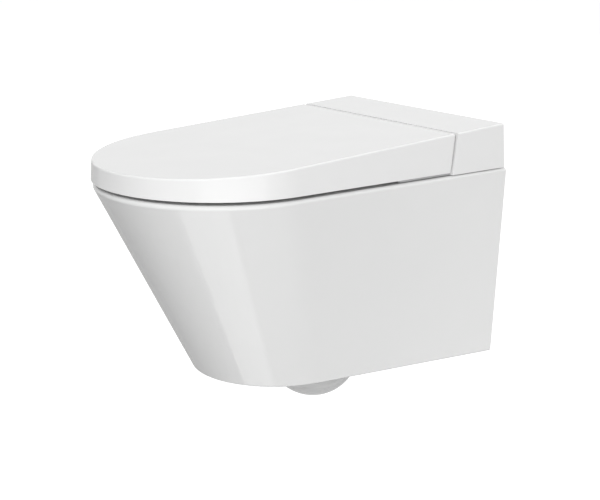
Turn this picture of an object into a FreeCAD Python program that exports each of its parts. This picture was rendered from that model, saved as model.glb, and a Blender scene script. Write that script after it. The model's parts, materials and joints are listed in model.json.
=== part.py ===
# Wall-hung shower toilet: vitreous china pan, seat, lid and a rear unit with a sliding spray wand.
# Millimetres. The wall is the plane Y = 0 and the toilet reaches out towards -Y. X = 0 is the middle.
# The origin is midway between the two wall bolts, on the wall, and Z points up.
import FreeCAD, Part
import Sketcher
import math
import os
import re

V = FreeCAD.Vector
doc = FreeCAD.newDocument("shower_toilet")

SIZES = {
    # China pan: outline at the rim and at the foot
    "rim_z": 80, "pan_height": 299, "rim_half": 190, "rim_nose": 397.5,
    "foot_half": 168, "foot_nose_radius": 129, "foot_nose": 300, "rim_edge": 5, "foot_edge": 3,
    "china_wall": 12, "deck_thick": 17, "back_wall": 14, "back_wall_drop": 120,
    # Bowl: half width, half length, distance from the wall and depth of each section
    "mouth_half_width": 132, "mouth_half_length": 165, "mouth_y": 378, "mouth_edge": 7,
    "upper_half_width": 113, "upper_half_length": 137, "upper_y": 363, "upper_depth": 80,
    "lower_half_width": 80, "lower_half_length": 93, "lower_y": 323, "lower_depth": 170,
    "throat_half_width": 56, "throat_half_length": 58, "throat_y": 276, "throat_depth": 240,
    "bowl_wall": 11,
    # Sump and trap
    "sump_radius": 74, "sump_wall": 12, "sump_y": 227, "sump_depth": 295, "sump_mouth": 48,
    "waste_drop": 100, "waste_radius": 51, "waste_wall": 8, "spigot_inset": 4,
    "trap_rise_angle": 50, "trap_bend": 62,
    # Flush inlet and channel
    "flush_rise": 35, "flush_bore": 27.5, "flush_depth": 60, "flush_wall": 9,
    "channel_radius": 18, "channel_fall": 30, "channel_length": 176,
    # Wall fixing
    "bolt_spacing": 180, "sleeve_radius": 11, "sleeve_bore": 6.5, "sleeve_flange": 16, "flange_thick": 3,
    # Outer cap, which the lid and the rear housing share
    "cap_lift": 1.5, "cap_proud": 0.3, "cap_draft": 0.06, "cap_back": 5,
    "cap_rise": 68.6, "cap_slope": 0.0597, "cap_blank": 75, "cap_edge": 2.6, "cap_wall": 3,
    "seam_y": 100, "seam_slant": 0.2013, "seam_gap": 2,
    # Lid
    "lid_wall": 2.4, "lid_lift": 5.6, "lid_rear_radius": 4.5, "lid_knuckle": 5.6,
    # Hinge
    "hinge_drop": 7, "hinge_ahead": 14.5, "pin_radius": 2.2, "running_gap": 0.05, "arm_knuckle": 4.2,
    "arm_inner": 86, "arm_width": 22, "bracket_inner": 110, "bracket_width": 8,
    "bracket_foot_ahead": 8.4, "bracket_foot_long": 16.8,
    "lid_knuckle_inner": 120, "lid_knuckle_width": 22, "pin_inner": 84, "pin_length": 60,
    # Seat
    "seat_lift": 7, "seat_thick": 18, "seat_inset": 9, "seat_back": 170, "seat_corner": 24,
    "seat_top_edge": 6, "seat_foot_edge": 2, "seat_hole_half": 112, "seat_hole_length": 145,
    "seat_hole_y": 385, "seat_pad_radius": 9, "seat_pad_inset": 32, "seat_pad_rear": 240,
    "seat_pad_angle": 37, "lid_pad_radius": 7, "lid_pad_inset": 41, "lid_pad_angle": 47, "pad_gap": 0.3,
    # Base of the rear unit
    "base_inset": 6, "base_back": 8.5, "base_front": 210, "base_thick": 3, "base_corner": 6,
    "gasket_inset": 5, "slot_half": 14, "slot_start": 92,
    "base_bolt_spacing": 155, "base_bolt_y": 62, "base_bolt_radius": 4, "base_bolt_head": 7.5,
    "base_bolt_head_thick": 5, "bush_radius": 8, "bush_flange": 13, "bush_below": 10,
    # Spray wand: its guide starts at the root, inside the housing, and slants down to the tip
    "wand_tilt": 18, "guide_root_y": 21.8, "guide_root_rise": 35.6, "wand_radius": 8, "wand_bore": 4,
    "wand_end_gap": 3, "tip_length": 26, "guide_wall": 3, "guide_length": 201, "guide_cap": 4,
    "tooth_module": 0.8, "pinion_teeth": 18, "tooth_play": 0.12, "mesh_gap": 0.1, "pressure_angle": 20,
    "rack_flat": 7.6, "pinion_ahead": 121, "pinion_width": 8, "rack_margin": 6, "rack_length": 122,
    "motor_shaft": 1.5, "motor_radius": 10, "motor_length": 24, "motor_face": 12, "motor_plate": 3,
    "guide_foot_ahead": 29, "guide_foot_half": 7, "jet_radius": 1, "jet_pitch": 4, "nest_length": 100,
    "notch_ahead": 22, "notch_clear": 2, "notch_wall": 10, "barb_radius": 3.2, "barb_length": 10,
    # Cover of the wand drive
    "cover_half": 68, "cover_front": 164, "cover_rise": 31, "cover_lean": 6, "cover_wall": 2.5,
    "cover_edge": 5, "cover_gap": 0.4,
    # Water side
    "heater_radius": 20, "heater_length": 86, "heater_x": 57, "heater_y": 62, "heater_foot": 12,
    "heater_clear": 6, "pump_radius": 12, "pump_length": 20, "pump_x": 58, "pump_y": 26,
    "pump_wide": 20, "pump_deep": 26, "pump_high": 28,
    "valve_x": 118, "valve_y": 26, "valve_wide": 30, "valve_deep": 26, "valve_high": 24,
    "coil_radius": 10, "coil_high": 20, "inlet_radius": 10.4, "inlet_neck": 9, "inlet_length": 30,
    "inlet_bore": 5, "inlet_collar": 15, "inlet_collar_thick": 5, "deck_hole": 13,
    "hose_radius": 3.5, "hose_bore": 2.2,
    # Electric side
    "supply_x": 62, "supply_y": 14, "supply_long": 70, "supply_deep": 38, "supply_high": 34,
    "board_x": 26, "board_y": 20, "board_long": 32, "board_deep": 72, "board_thick": 1.6,
    "board_lift": 8, "post_radius": 3.5, "post_inset": 6, "board_screw": 1.5, "board_screw_head": 3,
    "gland_x": 118, "gland_y": 82, "gland_radius": 9, "gland_bore": 4, "gland_length": 26,
    "gland_collar": 13, "gland_collar_thick": 5,
    "knob_y": 58, "knob_rise": 35, "knob_radius": 17, "knob_thick": 10, "knob_gap": 0.8,
    "knob_shaft": 3, "encoder_wide": 16, "encoder_deep": 14, "encoder_gap": 2.4, "encoder_bush": 4.5,
    "wall_hole_gap": 0.5, "button_radius": 8, "button_thick": 5, "button_travel": 1.5, "button_gap": 0.3,
    "button_proud": 1, "button_stem": 1.5,
    # Housing screws into the base
    "screw_radius": 2, "screw_head": 4, "screw_head_thick": 2.5, "lug_radius": 6, "lug_inset": 16,
    "lug_rear": 18, "lug_front": 96, "lug_thick": 4,
}

sheet = doc.addObject("Spreadsheet::Sheet", "Sizes")
for row, (alias, number) in enumerate(SIZES.items(), 1):
    sheet.set("A%d" % row, alias)
    sheet.set("B%d" % row, str(number))
    sheet.setAlias("B%d" % row, alias)
doc.recompute()

# Places that several pieces share, written in the sheet's names
FOOT_Z = "(rim_z - pan_height)"
CAP_HALF = "(rim_half + cap_proud)"
SEAT_HALF = "(rim_half - seat_inset)"
BASE_HALF = "(rim_half - base_inset)"
LUG_SIDE = "(rim_half - lug_inset)"
CAP_Z = "(rim_z + cap_lift)"
TOP_BACK = "(rim_z + cap_rise)"
LID_REAR = "(seam_y + seam_gap / 2)"
HOUSING_FRONT = "(seam_y - seam_gap / 2)"
HINGE_Y = "(%s + hinge_ahead)" % LID_REAR
HINGE_Z = "(%s - cap_slope * (%s - cap_back) - hinge_drop)" % (TOP_BACK, HINGE_Y)
BASE_Z = "(rim_z + cap_lift)"
BASE_TOP = "(rim_z + cap_lift + base_thick)"
SEAT_Z = "(rim_z + seat_lift)"
SEAT_TOP = "(rim_z + seat_lift + seat_thick)"
PITCH_RADIUS = "(tooth_module * pinion_teeth / 2)"
PITCH_LINE = "(rack_flat - tooth_module)"
PINION_UP = "(%s + %s + mesh_gap)" % (PITCH_LINE, PITCH_RADIUS)
GUIDE_RADIUS = "(wand_radius + running_gap + guide_wall)"
WAND_LENGTH = "(guide_length - wand_end_gap)"
RACK_END = "(%s - rack_margin)" % WAND_LENGTH
PINION_BACK = "(guide_length - pinion_ahead)"
KNOB_Z = "(%s + knob_rise)" % BASE_TOP
KNOB_FACE = "(%s - cap_draft * (%s - knob_radius - %s) + knob_gap)" % (CAP_HALF, KNOB_Z, CAP_Z)
ENCODER_TOP = "(%s + encoder_wide / 2)" % KNOB_Z
ENCODER_X = "(%s - cap_wall - cap_draft * (%s - %s) - encoder_gap)" % (CAP_HALF, ENCODER_TOP, CAP_Z)
SIDES = {"left": "", "right": "-"}
ACROSS = ("-2 * " + CAP_HALF, "4 * " + CAP_HALF)

# Two places nearer than this are one place, and a cutting shape passes an open face by the overrun
TOUCH = 0.01
OVERRUN = "1"
# Tooth depth below the pitch line, in modules, and how much of a hose's run its bend takes
ROOT_DEPTH = 1.25
BEND_SHARE = 0.45
# Turns that lay a cylinder along +X, or towards the wall
TO_X = (V(0, 1, 0), 90)
TO_BACK = (V(1, 0, 0), -90)


def bound(text):
    """Write an expression with every size name tied to the sheet."""
    tied = lambda word: "Sizes." + word.group(0) if word.group(0) in SIZES else word.group(0)
    return re.sub(r"[a-z_]+", tied, text)


def value(text):
    return float(doc.Sizes.evalExpression(bound(text)))


def top_z(distance, wall="0"):
    """Height of the sloping top at a distance from the wall, less a wall thickness."""
    return "(%s - cap_slope * ((%s) - cap_back) - (%s))" % (TOP_BACK, distance, wall)


def seam_at(height, front):
    """Distance from the wall of a seam face at a height: it slants forward going down."""
    return "(%s + seam_slant * (%s - (%s)))" % (front, top_z(front), height)


def along(back, rise="0"):
    """Distance from the wall and height of a point behind the wand's tip, and above its axis."""
    slope = "(wand_tilt * 1 deg)"
    ahead = "(guide_length - (%s))" % back
    y = "(-guide_root_y - %s * cos%s - (%s) * sin%s)" % (ahead, slope, rise, slope)
    z = "(%s + guide_root_rise - %s * sin%s + (%s) * cos%s)" % (BASE_TOP, ahead, slope, rise, slope)
    return y, z


def place(part, at, turn=None):
    if turn:
        part.Placement = FreeCAD.Placement(V(), FreeCAD.Rotation(*turn))
    for axis, text in zip("xyz", at):
        part.setExpression("Placement.Base." + axis, bound(text))
    return part


def box(name, size, at, turn=None):
    part = doc.addObject("Part::Box", name)
    for prop, text in zip(("Length", "Width", "Height"), size):
        part.setExpression(prop, bound(text))
    return place(part, at, turn)


def rod(name, radius, length, at, turn=None):
    part = doc.addObject("Part::Cylinder", name)
    part.setExpression("Radius", bound(radius))
    part.setExpression("Height", bound(length))
    return place(part, at, turn)


def wand_turn():
    """Turns +Z into the wand's forward direction."""
    return (V(1, 0, 0), 90 + value("wand_tilt"))


def wand_rod(name, radius, length, back, rise="0"):
    return rod(name, radius, length, ("0",) + along(back, rise), wand_turn())


def wand_box(name, size, left, rise, back):
    """A box in the wand's frame: width, rise and length, from a corner."""
    return box(name, size, (left,) + along(back, rise), wand_turn())


def ball(name, radius, at):
    part = doc.addObject("Part::Sphere", name)
    part.setExpression("Radius", bound(radius))
    return place(part, at)


def fuse(name, parts):
    part = doc.addObject("Part::MultiFuse", name)
    part.Shapes = parts
    return part


def cut(name, base, tools):
    part = doc.addObject("Part::Cut", name)
    part.Base = base
    part.Tool = tools[0] if len(tools) == 1 else fuse(name + "_tools", tools)
    return part


def common(name, first, second):
    part = doc.addObject("Part::Common", name)
    part.Base = first
    part.Tool = second
    return part


def group(name, parts):
    part = doc.addObject("Part::Compound", name)
    part.Links = parts
    return part


def rounded(name, base, radius, wanted):
    """Round the edges that a test on their middle point and ends picks out."""
    doc.recompute()
    size = value(radius)
    picked = []
    for number, edge in enumerate(base.Shape.Edges, 1):
        first, last = edge.ParameterRange
        if wanted(edge.valueAt((first + last) / 2), [v.Point for v in edge.Vertexes]):
            picked.append((number, size, size))
    part = doc.addObject("Part::Fillet", name)
    part.Base = base
    part.Edges = picked
    return part


def upright(ends):
    return len(ends) == 2 and abs(ends[0].z - ends[1].z) > TOUCH


def plane_of(body, role):
    return next(o for o in body.Origin.OriginFeatures if o.Role == role)


def sketch_on(body, name, role, offset):
    sketch = body.newObject("Sketcher::SketchObject", name)
    sketch.AttachmentSupport = (plane_of(body, role), [""])
    sketch.MapMode = "FlatFace"
    sketch.setExpression("AttachmentOffset.Base.z", bound(offset))
    return sketch


def tie(sketch, name, constraint, text):
    index = sketch.addConstraint(constraint)
    sketch.renameConstraint(index, name)
    sketch.setExpression("Constraints." + name, bound(text))


def d_sketch(body, name, height, half, radius, nose, back):
    """A D outline: straight back, two sides, and a round nose that the sides run into."""
    sketch = sketch_on(body, name, "XY_Plane", height)
    h, r, c, b = (value(text) for text in (half, radius, nose, back))
    lean = math.atan2(c - b, h) - math.acos(r / math.hypot(h, c - b))
    meet = V(r * math.cos(lean), -c + r * math.sin(lean), 0)
    circle = Part.Circle(V(0, -c, 0), V(0, 0, 1), r)
    arc = sketch.addGeometry(Part.ArcOfCircle(circle, math.pi - lean, 2 * math.pi + lean))
    left = sketch.addGeometry(Part.LineSegment(meet, V(h, -b, 0)))
    rear = sketch.addGeometry(Part.LineSegment(V(h, -b, 0), V(-h, -b, 0)))
    right = sketch.addGeometry(Part.LineSegment(V(-h, -b, 0), V(-meet.x, meet.y, 0)))
    rule = Sketcher.Constraint
    sketch.addConstraint(rule("Tangent", arc, 2, left, 1))
    sketch.addConstraint(rule("Coincident", left, 2, rear, 1))
    sketch.addConstraint(rule("Coincident", rear, 2, right, 1))
    sketch.addConstraint(rule("Tangent", right, 2, arc, 1))
    sketch.addConstraint(rule("Symmetric", rear, 1, rear, 2, -2))
    sketch.addConstraint(rule("PointOnObject", arc, 3, -2))
    tie(sketch, "radius", rule("Radius", arc, r), radius)
    tie(sketch, "nose", rule("DistanceY", arc, 3, -1, 1, c), nose)
    tie(sketch, "width", rule("DistanceX", rear, 2, rear, 1, 2 * h), "2 * (%s)" % half)
    tie(sketch, "back", rule("DistanceY", rear, 1, -1, 1, b), back)
    return sketch


def d_loft(name, high, low):
    """A ruled body between two D outlines, each (height, half, radius, nose, back)."""
    body = doc.addObject("PartDesign::Body", name)
    first = d_sketch(body, name + "_high", *high)
    second = d_sketch(body, name + "_low", *low)
    loft = body.newObject("PartDesign::AdditiveLoft", name + "_loft")
    loft.Profile = first
    loft.Sections = [second]
    loft.Ruled = True
    return body


def prism(name, corners, start, length):
    """A side profile, as (distance from the wall, height) corners, run along X."""
    body = doc.addObject("PartDesign::Body", name)
    sketch = sketch_on(body, name + "_profile", "YZ_Plane", start)
    points = [V(-value(y), value(z), 0) for y, z in corners]
    rule = Sketcher.Constraint
    for here, there in zip(points, points[1:] + points[:1]):
        sketch.addGeometry(Part.LineSegment(here, there))
    for line, (y, z) in enumerate(corners):
        sketch.addConstraint(rule("Coincident", line, 2, (line + 1) % len(corners), 1))
        tie(sketch, "y%d" % line, rule("DistanceX", -1, 1, line, 1, points[line].x), "-(%s)" % y)
        tie(sketch, "z%d" % line, rule("DistanceY", -1, 1, line, 1, points[line].y), z)
    pad = body.newObject("PartDesign::Pad", name + "_pad")
    pad.Profile = sketch
    pad.setExpression("Length", bound(length))
    return body


def ellipse(name, half_width, half_length, y, z):
    """A level ellipse whose long axis runs along Y."""
    part = doc.addObject("Part::Ellipse", name)
    part.setExpression("MajorRadius", bound(half_length))
    part.setExpression("MinorRadius", bound(half_width))
    return place(part, ("0", "-(%s)" % y, z), (V(0, 0, 1), 90))


def oval_loft(name, sections):
    part = doc.addObject("Part::Loft", name)
    part.Sections = [ellipse("%s_%d" % (name, i), *s) for i, s in enumerate(sections)]
    part.Solid = True
    return part


def hose(name, points):
    """A hose on straight runs joined by tangent arcs as large as the runs allow."""
    edges = []
    start = points[0]
    for before, here, after in zip(points, points[1:], points[2:]):
        back = (before - here).normalize()
        ahead = (after - here).normalize()
        reach = BEND_SHARE * min((before - here).Length, (after - here).Length)
        half = back.getAngle(ahead) / 2
        centre_way = (back + ahead).normalize()
        radius = reach * math.tan(half)
        middle = here + centre_way * (reach / math.cos(half) - radius)
        print(name, "bend radius", round(radius, 1))
        edges.append(Part.LineSegment(start, here + back * reach).toShape())
        edges.append(Part.Arc(here + back * reach, middle, here + ahead * reach).toShape())
        start = here + ahead * reach
    edges.append(Part.LineSegment(start, points[-1]).toShape())
    path = Part.Wire(edges)
    tubes = []
    for radius in (value("hose_radius"), value("hose_bore")):
        ring = Part.Wire([Part.makeCircle(radius, points[0], points[1] - points[0])])
        tubes.append(path.makePipeShell([ring], True, False))
    part = doc.addObject("Part::Feature", name)
    part.Shape = tubes[0].cut(tubes[1])
    return part


def bowl(name, grow, mouth_z):
    """The bowl from its mouth down into the sump, grown outwards by a wall."""
    heights = {"mouth": mouth_z}
    heights.update({level: "rim_z - %s_depth" % level for level in ("upper", "lower", "throat")})
    sections = []
    for level, z in heights.items():
        half_width = "%s_half_width + %s" % (level, grow)
        half_length = "%s_half_length + %s" % (level, grow)
        sections.append((half_width, half_length, level + "_y", z))
    sump = "sump_mouth + " + grow
    sections.append((sump, sump, "sump_y + sump_wall", "rim_z - sump_depth"))
    return oval_loft(name, sections)


def china():
    """Rim with skirt, bowl, trap and back wall: one fired piece, held as four that meet face to face."""
    low = (FOOT_Z, "foot_half", "foot_nose_radius", "foot_nose", "0")
    high = ("rim_z", "rim_half", "rim_half", "rim_nose", "0")
    skirt = d_loft("skirt", high, low)
    rim = value("rim_z")
    on_rim = lambda mid, ends: abs(mid.z - rim) < TOUCH and mid.y < -TOUCH
    foot = value(FOOT_Z)
    on_foot = lambda mid, ends: abs(mid.z - foot) < TOUCH and mid.y < -TOUCH
    outer = rounded("skirt_footed", rounded("skirt_rounded", skirt, "rim_edge", on_rim), "foot_edge", on_foot)
    share = "(deck_thick / pan_height)"
    inner_half = "(rim_half - (rim_half - foot_half) * %s - china_wall)" % share
    inner_radius = "(rim_half - (rim_half - foot_nose_radius) * %s - china_wall)" % share
    inner_nose = "(rim_nose - (rim_nose - foot_nose) * %s)" % share
    foot_inner = (FOOT_Z + " - " + OVERRUN, "foot_half - china_wall", "foot_nose_radius - china_wall",
                  "foot_nose", "-" + OVERRUN)
    deck_inner = ("rim_z - deck_thick", inner_half, inner_radius, inner_nose, "-" + OVERRUN)
    shell = cut("skirt_shell", outer, [d_loft("skirt_hollow", deck_inner, foot_inner)])
    bowl_outer = bowl("bowl_outer", "bowl_wall", "(rim_z - deck_thick / 2)")
    bowl_inner = bowl("bowl_inner", "0", "rim_z")
    ways = china_ways()
    reach = value("mouth_half_length") + TOUCH
    aside = value("mouth_half_width") + TOUCH
    middle = -value("mouth_y")
    in_mouth = lambda mid: abs(mid.y - middle) < reach and abs(mid.x) < aside
    on_mouth = lambda mid, ends: abs(mid.z - rim) < TOUCH and in_mouth(mid)
    lipped = rounded("rim_lipped", cut("rim_dished", shell, [bowl_inner]), "mouth_edge", on_mouth)
    nested = fuse("bowl_solid", [bowl_outer, wand_nest()])
    trap_path = trap_line()
    sump_at = ("0", "-sump_y", "rim_z - sump_depth")
    drain = [ball("sump_inner", "sump_radius - sump_wall", sump_at),
             trap("trap_bore", trap_path, "waste_radius - waste_wall")]
    bend = fuse("trap_solid", [ball("sump", "sump_radius", sump_at), trap("trap", trap_path, "waste_radius")])
    return {
        "ceramic_pan": cut("rim_and_skirt", lipped, ways["deck"] + [ways["notch"]]),
        "pan_bowl": cut("bowl_part", nested, [shell, bowl_inner, ways["notch"], ways["channel"]] + drain),
        "pan_trap": cut("trap_part", bend, [bowl_outer] + drain),
        "pan_back": cut("back_part", back_solid(),
                        [shell, nested, ways["flush"], ways["channel"]] + ways["bolts"]),
    }


def channel_line():
    """Place and turn of the flush channel, which falls from the inlet to the bowl."""
    fall = math.degrees(math.asin(value("channel_fall / channel_length")))
    return ("0", "-flush_depth", "flush_rise"), (V(1, 0, 0), 90 + fall)


def china_ways():
    """Every bored hole in the china, by the part of it that the hole passes through."""
    ways = {"deck": [], "bolts": []}
    ways["flush"] = rod("flush_hole", "flush_bore", "flush_depth", ("0", "-flush_depth", "flush_rise"),
                        TO_BACK)
    ways["channel"] = rod("channel_hole", "channel_radius", "channel_length + flush_wall", *channel_line())
    ways["notch"] = wand_box("notch", ("2 * slot_half", "nest_length", "guide_length"), "-slot_half",
                             "-%s - notch_clear" % GUIDE_RADIUS, "guide_length - notch_ahead")
    for side, sign in SIDES.items():
        ways["bolts"].append(rod("bolt_hole_" + side, "sleeve_radius", "back_wall",
                                 (sign + "bolt_spacing / 2", "-back_wall", "0"), TO_BACK))
        ways["deck"].append(rod("deck_hole_" + side, "bush_radius", "deck_thick",
                                (sign + "base_bolt_spacing / 2", "-base_bolt_y", "rim_z - deck_thick")))
    for name, at in (("inlet_hole", ("valve_x", "-valve_y")), ("gland_hole", ("-gland_x", "-gland_y"))):
        ways["deck"].append(rod(name, "deck_hole", "deck_thick", at + ("rim_z - deck_thick",)))
    return ways


def wand_nest():
    """China around the wand's way through the deck, behind the bowl's mouth."""
    half = "(slot_half + notch_wall)"
    block = wand_box("nest_block", ("2 * " + half, "2 * " + GUIDE_RADIUS + " + notch_wall", "nest_length"),
                     "-" + half, "-%s - notch_clear - notch_wall" % GUIDE_RADIUS, "nest_length")
    room = box("nest_room", ("2 * " + half, "mouth_y - mouth_half_length", "pan_height / 2"),
               ("-" + half, "mouth_half_length - mouth_y", "rim_z - deck_thick / 2 - pan_height / 2"))
    return common("nest", block, room)


def back_solid():
    """Upright back wall between the skirt's sides, with the flush inlet's boss and channel."""
    half = "(rim_half - (rim_half - foot_half) * back_wall_drop / pan_height - china_wall / 4)"
    blank = box("back_blank", ("2 * " + half, "back_wall", "back_wall_drop - deck_thick / 2"),
                ("-" + half, "-back_wall", "rim_z - back_wall_drop"))
    boss = rod("flush_boss", "flush_bore + flush_wall", "flush_depth + flush_wall",
               ("0", "-flush_depth - flush_wall", "flush_rise"), TO_BACK)
    channel = rod("channel", "channel_radius + flush_wall", "channel_length", *channel_line())
    return fuse("back_solid", [blank, boss, channel])


def trap_line():
    """Middle line of the trap: level from the wall, then down through a bend to the sump."""
    path = doc.addObject("Sketcher::SketchObject", "trap_line")
    path.Placement = FreeCAD.Placement(V(), FreeCAD.Rotation(V(1, 1, 1), 120))
    angle = math.radians(value("trap_rise_angle"))
    sump = V(-value("sump_y"), value("rim_z - sump_depth"), 0)
    level = -value("waste_drop")
    corner = V(sump.x + (level - sump.y) / math.tan(angle), level, 0)
    reach = value("trap_bend") * math.tan(angle / 2)
    down = V(-math.cos(angle), -math.sin(angle), 0)
    first = corner + V(reach, 0, 0)
    last = corner + down * reach
    to_centre = (V(1, 0, 0) + down).normalize()
    middle = corner + to_centre * (value("trap_bend") / math.cos(angle / 2) - value("trap_bend"))
    path.addGeometry(Part.LineSegment(V(-value("spigot_inset"), level, 0), first))
    path.addGeometry(Part.Arc(first, middle, last))
    path.addGeometry(Part.LineSegment(last, sump))
    return path


def trap(name, path, radius):
    ring = doc.addObject("Part::Circle", name + "_ring")
    ring.setExpression("Radius", bound(radius))
    place(ring, ("0", "-spigot_inset", "-waste_drop"), (V(1, 0, 0), 90))
    part = doc.addObject("Part::Sweep", name)
    part.Sections = [ring]
    part.Spine = (path, ["Edge1", "Edge2", "Edge3"])
    part.Solid = True
    return part


def cap_blank(name, inset, top_wall):
    """The lid and housing as one closed cap, set in by a wall, with its sloping top cut off."""
    half = "(%s - %s)" % (CAP_HALF, inset)
    high_half = "(%s - cap_blank * cap_draft)" % half
    high = (CAP_Z + " + cap_blank", high_half, high_half, "rim_nose", "cap_back + " + inset)
    low = (CAP_Z, half, half, "rim_nose", "cap_back + " + inset)
    over = prism(name + "_over", [("0", top_z("0", top_wall)), ("0", CAP_Z + " + 2 * cap_blank"),
                                  ("2 * rim_nose", CAP_Z + " + 2 * cap_blank"),
                                  ("2 * rim_nose", top_z("2 * rim_nose", top_wall))], *ACROSS)
    return cut(name, d_loft(name + "_d", high, low), [over])


def outer_cap(name):
    """The closed cap with its top edge rounded all round the sides and nose."""
    blank = cap_blank(name + "_blank", "0", "0")
    back = -value("cap_back") - TOUCH
    top = lambda mid: value(top_z("%f" % -mid.y))
    on_top = lambda mid, ends: abs(mid.z - top(mid)) < TOUCH and mid.y < back
    return rounded(name, blank, "cap_edge", on_top)


def lid():
    """A cap with drafted sides, open below and behind, with two hinge knuckles under its rear edge."""
    foot = "(rim_z + lid_lift)"
    side_view = prism("lid_side", [(seam_at(foot, LID_REAR), foot), (seam_at(TOP_BACK, LID_REAR), TOP_BACK),
                                   ("2 * rim_nose", TOP_BACK), ("2 * rim_nose", foot)], *ACROSS)
    blank = common("lid_blank", outer_cap("lid_cap"), side_view)
    rear = -value(LID_REAR)
    at_rear = lambda mid, ends: abs(mid.x) < TOUCH and abs(mid.y - rear) < TOUCH and mid.z > value(HINGE_Z)
    outer = rounded("lid_outer", blank, "lid_rear_radius", at_rear)
    shell = cut("lid_shell", outer, [cap_blank("lid_room", "lid_wall", "lid_wall")])
    knuckles = []
    bores = []
    for side, sign in SIDES.items():
        start = "lid_knuckle_inner" if sign == "" else "-lid_knuckle_inner - lid_knuckle_width"
        at = (start, "-" + HINGE_Y, HINGE_Z)
        knuckles.append(rod("lid_knuckle_" + side, "lid_knuckle", "lid_knuckle_width", at, TO_X))
        bores.append(rod("lid_bore_" + side, "pin_radius + running_gap", "lid_knuckle_width", at, TO_X))
    return cut("lid_whole", fuse("lid_solid", [shell] + knuckles), bores)


def rear_housing():
    """Shell over the rear unit: sloping top, slanted front, open below, with screw lugs inside."""
    over = "(%s + cap_lift)" % TOP_BACK
    inside = "(%s - cap_wall)" % HOUSING_FRONT
    side = prism("housing_side", [("0", CAP_Z), ("0", over), (seam_at(over, HOUSING_FRONT), over),
                                  (seam_at(CAP_Z, HOUSING_FRONT), CAP_Z)], *ACROSS)
    outer = common("housing_outer", outer_cap("housing_cap"), side)
    room = prism("housing_room_side", [("0", "rim_z"), ("0", over), (seam_at(over, inside), over),
                                       (seam_at("rim_z", inside), "rim_z")], *ACROSS)
    hollow = common("housing_hollow", cap_blank("housing_room", "cap_wall", "cap_wall"), room)
    shell = cut("housing_shell", outer, [hollow])
    lugs = []
    foot_front = seam_at(CAP_Z, HOUSING_FRONT)
    port_deep = "%s - %s + 2 * cap_wall" % (foot_front, HOUSING_FRONT)
    holes = [box("guide_port", ("2 * (slot_half + notch_clear)", port_deep, "cover_rise"),
                 ("-slot_half - notch_clear", "-" + foot_front, "rim_z")),
             box("base_step", ("2 * " + BASE_HALF, "2 * base_back", "base_thick"),
                 ("-" + BASE_HALF, "-" + foot_front, BASE_Z)),
             rod("knob_port", "encoder_bush + wall_hole_gap", "4 * cap_wall",
                 ("-" + CAP_HALF, "-knob_y", KNOB_Z), TO_X)]
    for side_name, sign in SIDES.items():
        for row in ("rear", "front"):
            corner = LUG_SIDE + " - lug_radius" if sign == "" else "-%s - 3 * lug_radius" % LUG_SIDE
            lugs.append(box("lug_%s_%s" % (side_name, row), ("4 * lug_radius", "2 * lug_radius", "lug_thick"),
                            (corner, "-lug_%s - lug_radius" % row, BASE_TOP)))
            holes.append(rod("lug_hole_%s_%s" % (side_name, row), "screw_radius", "lug_thick",
                             (sign + LUG_SIDE, "-lug_" + row, BASE_TOP)))
    room_for_lugs = cap_blank("lug_room", "cap_wall / 2", "cap_wall / 2")
    fitted = common("lugs_in", fuse("lugs", lugs), room_for_lugs)
    return cut("housing", fuse("housing_solid", [shell, fitted]), holes)


def housing_screws():
    screws = []
    for side, sign in SIDES.items():
        for row in ("rear", "front"):
            at = [sign + LUG_SIDE, "-lug_" + row]
            which = "%s_%s" % (side, row)
            shank = rod("shank_" + which, "screw_radius", "lug_thick + base_thick", at + [BASE_Z])
            head = rod("head_" + which, "screw_head", "screw_head_thick", at + [BASE_TOP + " + lug_thick"])
            screws.append(fuse("screw_" + which, [shank, head]))
    return group("four_screws", screws)


def base_plate():
    """Floor of the rear unit, with a slot for the wand, posts for the board and two bolt holes."""
    plate = box("base_blank", ("2 * " + BASE_HALF, "base_front - base_back", "base_thick"),
                ("-" + BASE_HALF, "-base_front", BASE_Z))
    edge = value(BASE_HALF)
    corners = lambda mid, ends: abs(abs(mid.x) - edge) < TOUCH and upright(ends)
    plate = rounded("base_rounded", plate, "base_corner", corners)
    posts = [rod("post_%d" % i, "post_radius", "board_lift", at + [BASE_TOP])
             for i, at in enumerate(board_corners())]
    holes = [box("wand_slot", ("2 * slot_half", "base_front - slot_start", "base_thick"),
                 ("-slot_half", "-base_front", BASE_Z)),
             rod("inlet_pass", "inlet_radius + wall_hole_gap", "base_thick", ("valve_x", "-valve_y", BASE_Z)),
             rod("gland_pass", "gland_radius", "base_thick", ("-gland_x", "-gland_y", BASE_Z))]
    holes += [rod("post_hole_%d" % i, "board_screw", "board_lift", at + [BASE_TOP])
              for i, at in enumerate(board_corners())]
    for side, sign in SIDES.items():
        holes.append(rod("base_hole_" + side, "base_bolt_radius", "base_thick",
                         (sign + "base_bolt_spacing / 2", "-base_bolt_y", BASE_Z)))
        for row in ("rear", "front"):
            holes.append(rod("base_tap_%s_%s" % (side, row), "screw_radius", "base_thick",
                             (sign + LUG_SIDE, "-lug_" + row, BASE_Z)))
    return cut("base", fuse("base_solid", [plate] + posts), holes)


def board_corners():
    near = ["-board_x - post_inset", "-board_x - board_long + post_inset"]
    deep = ["-board_y - post_inset", "-board_y - board_deep + post_inset"]
    return [[x, y] for x in near for y in deep]


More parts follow.
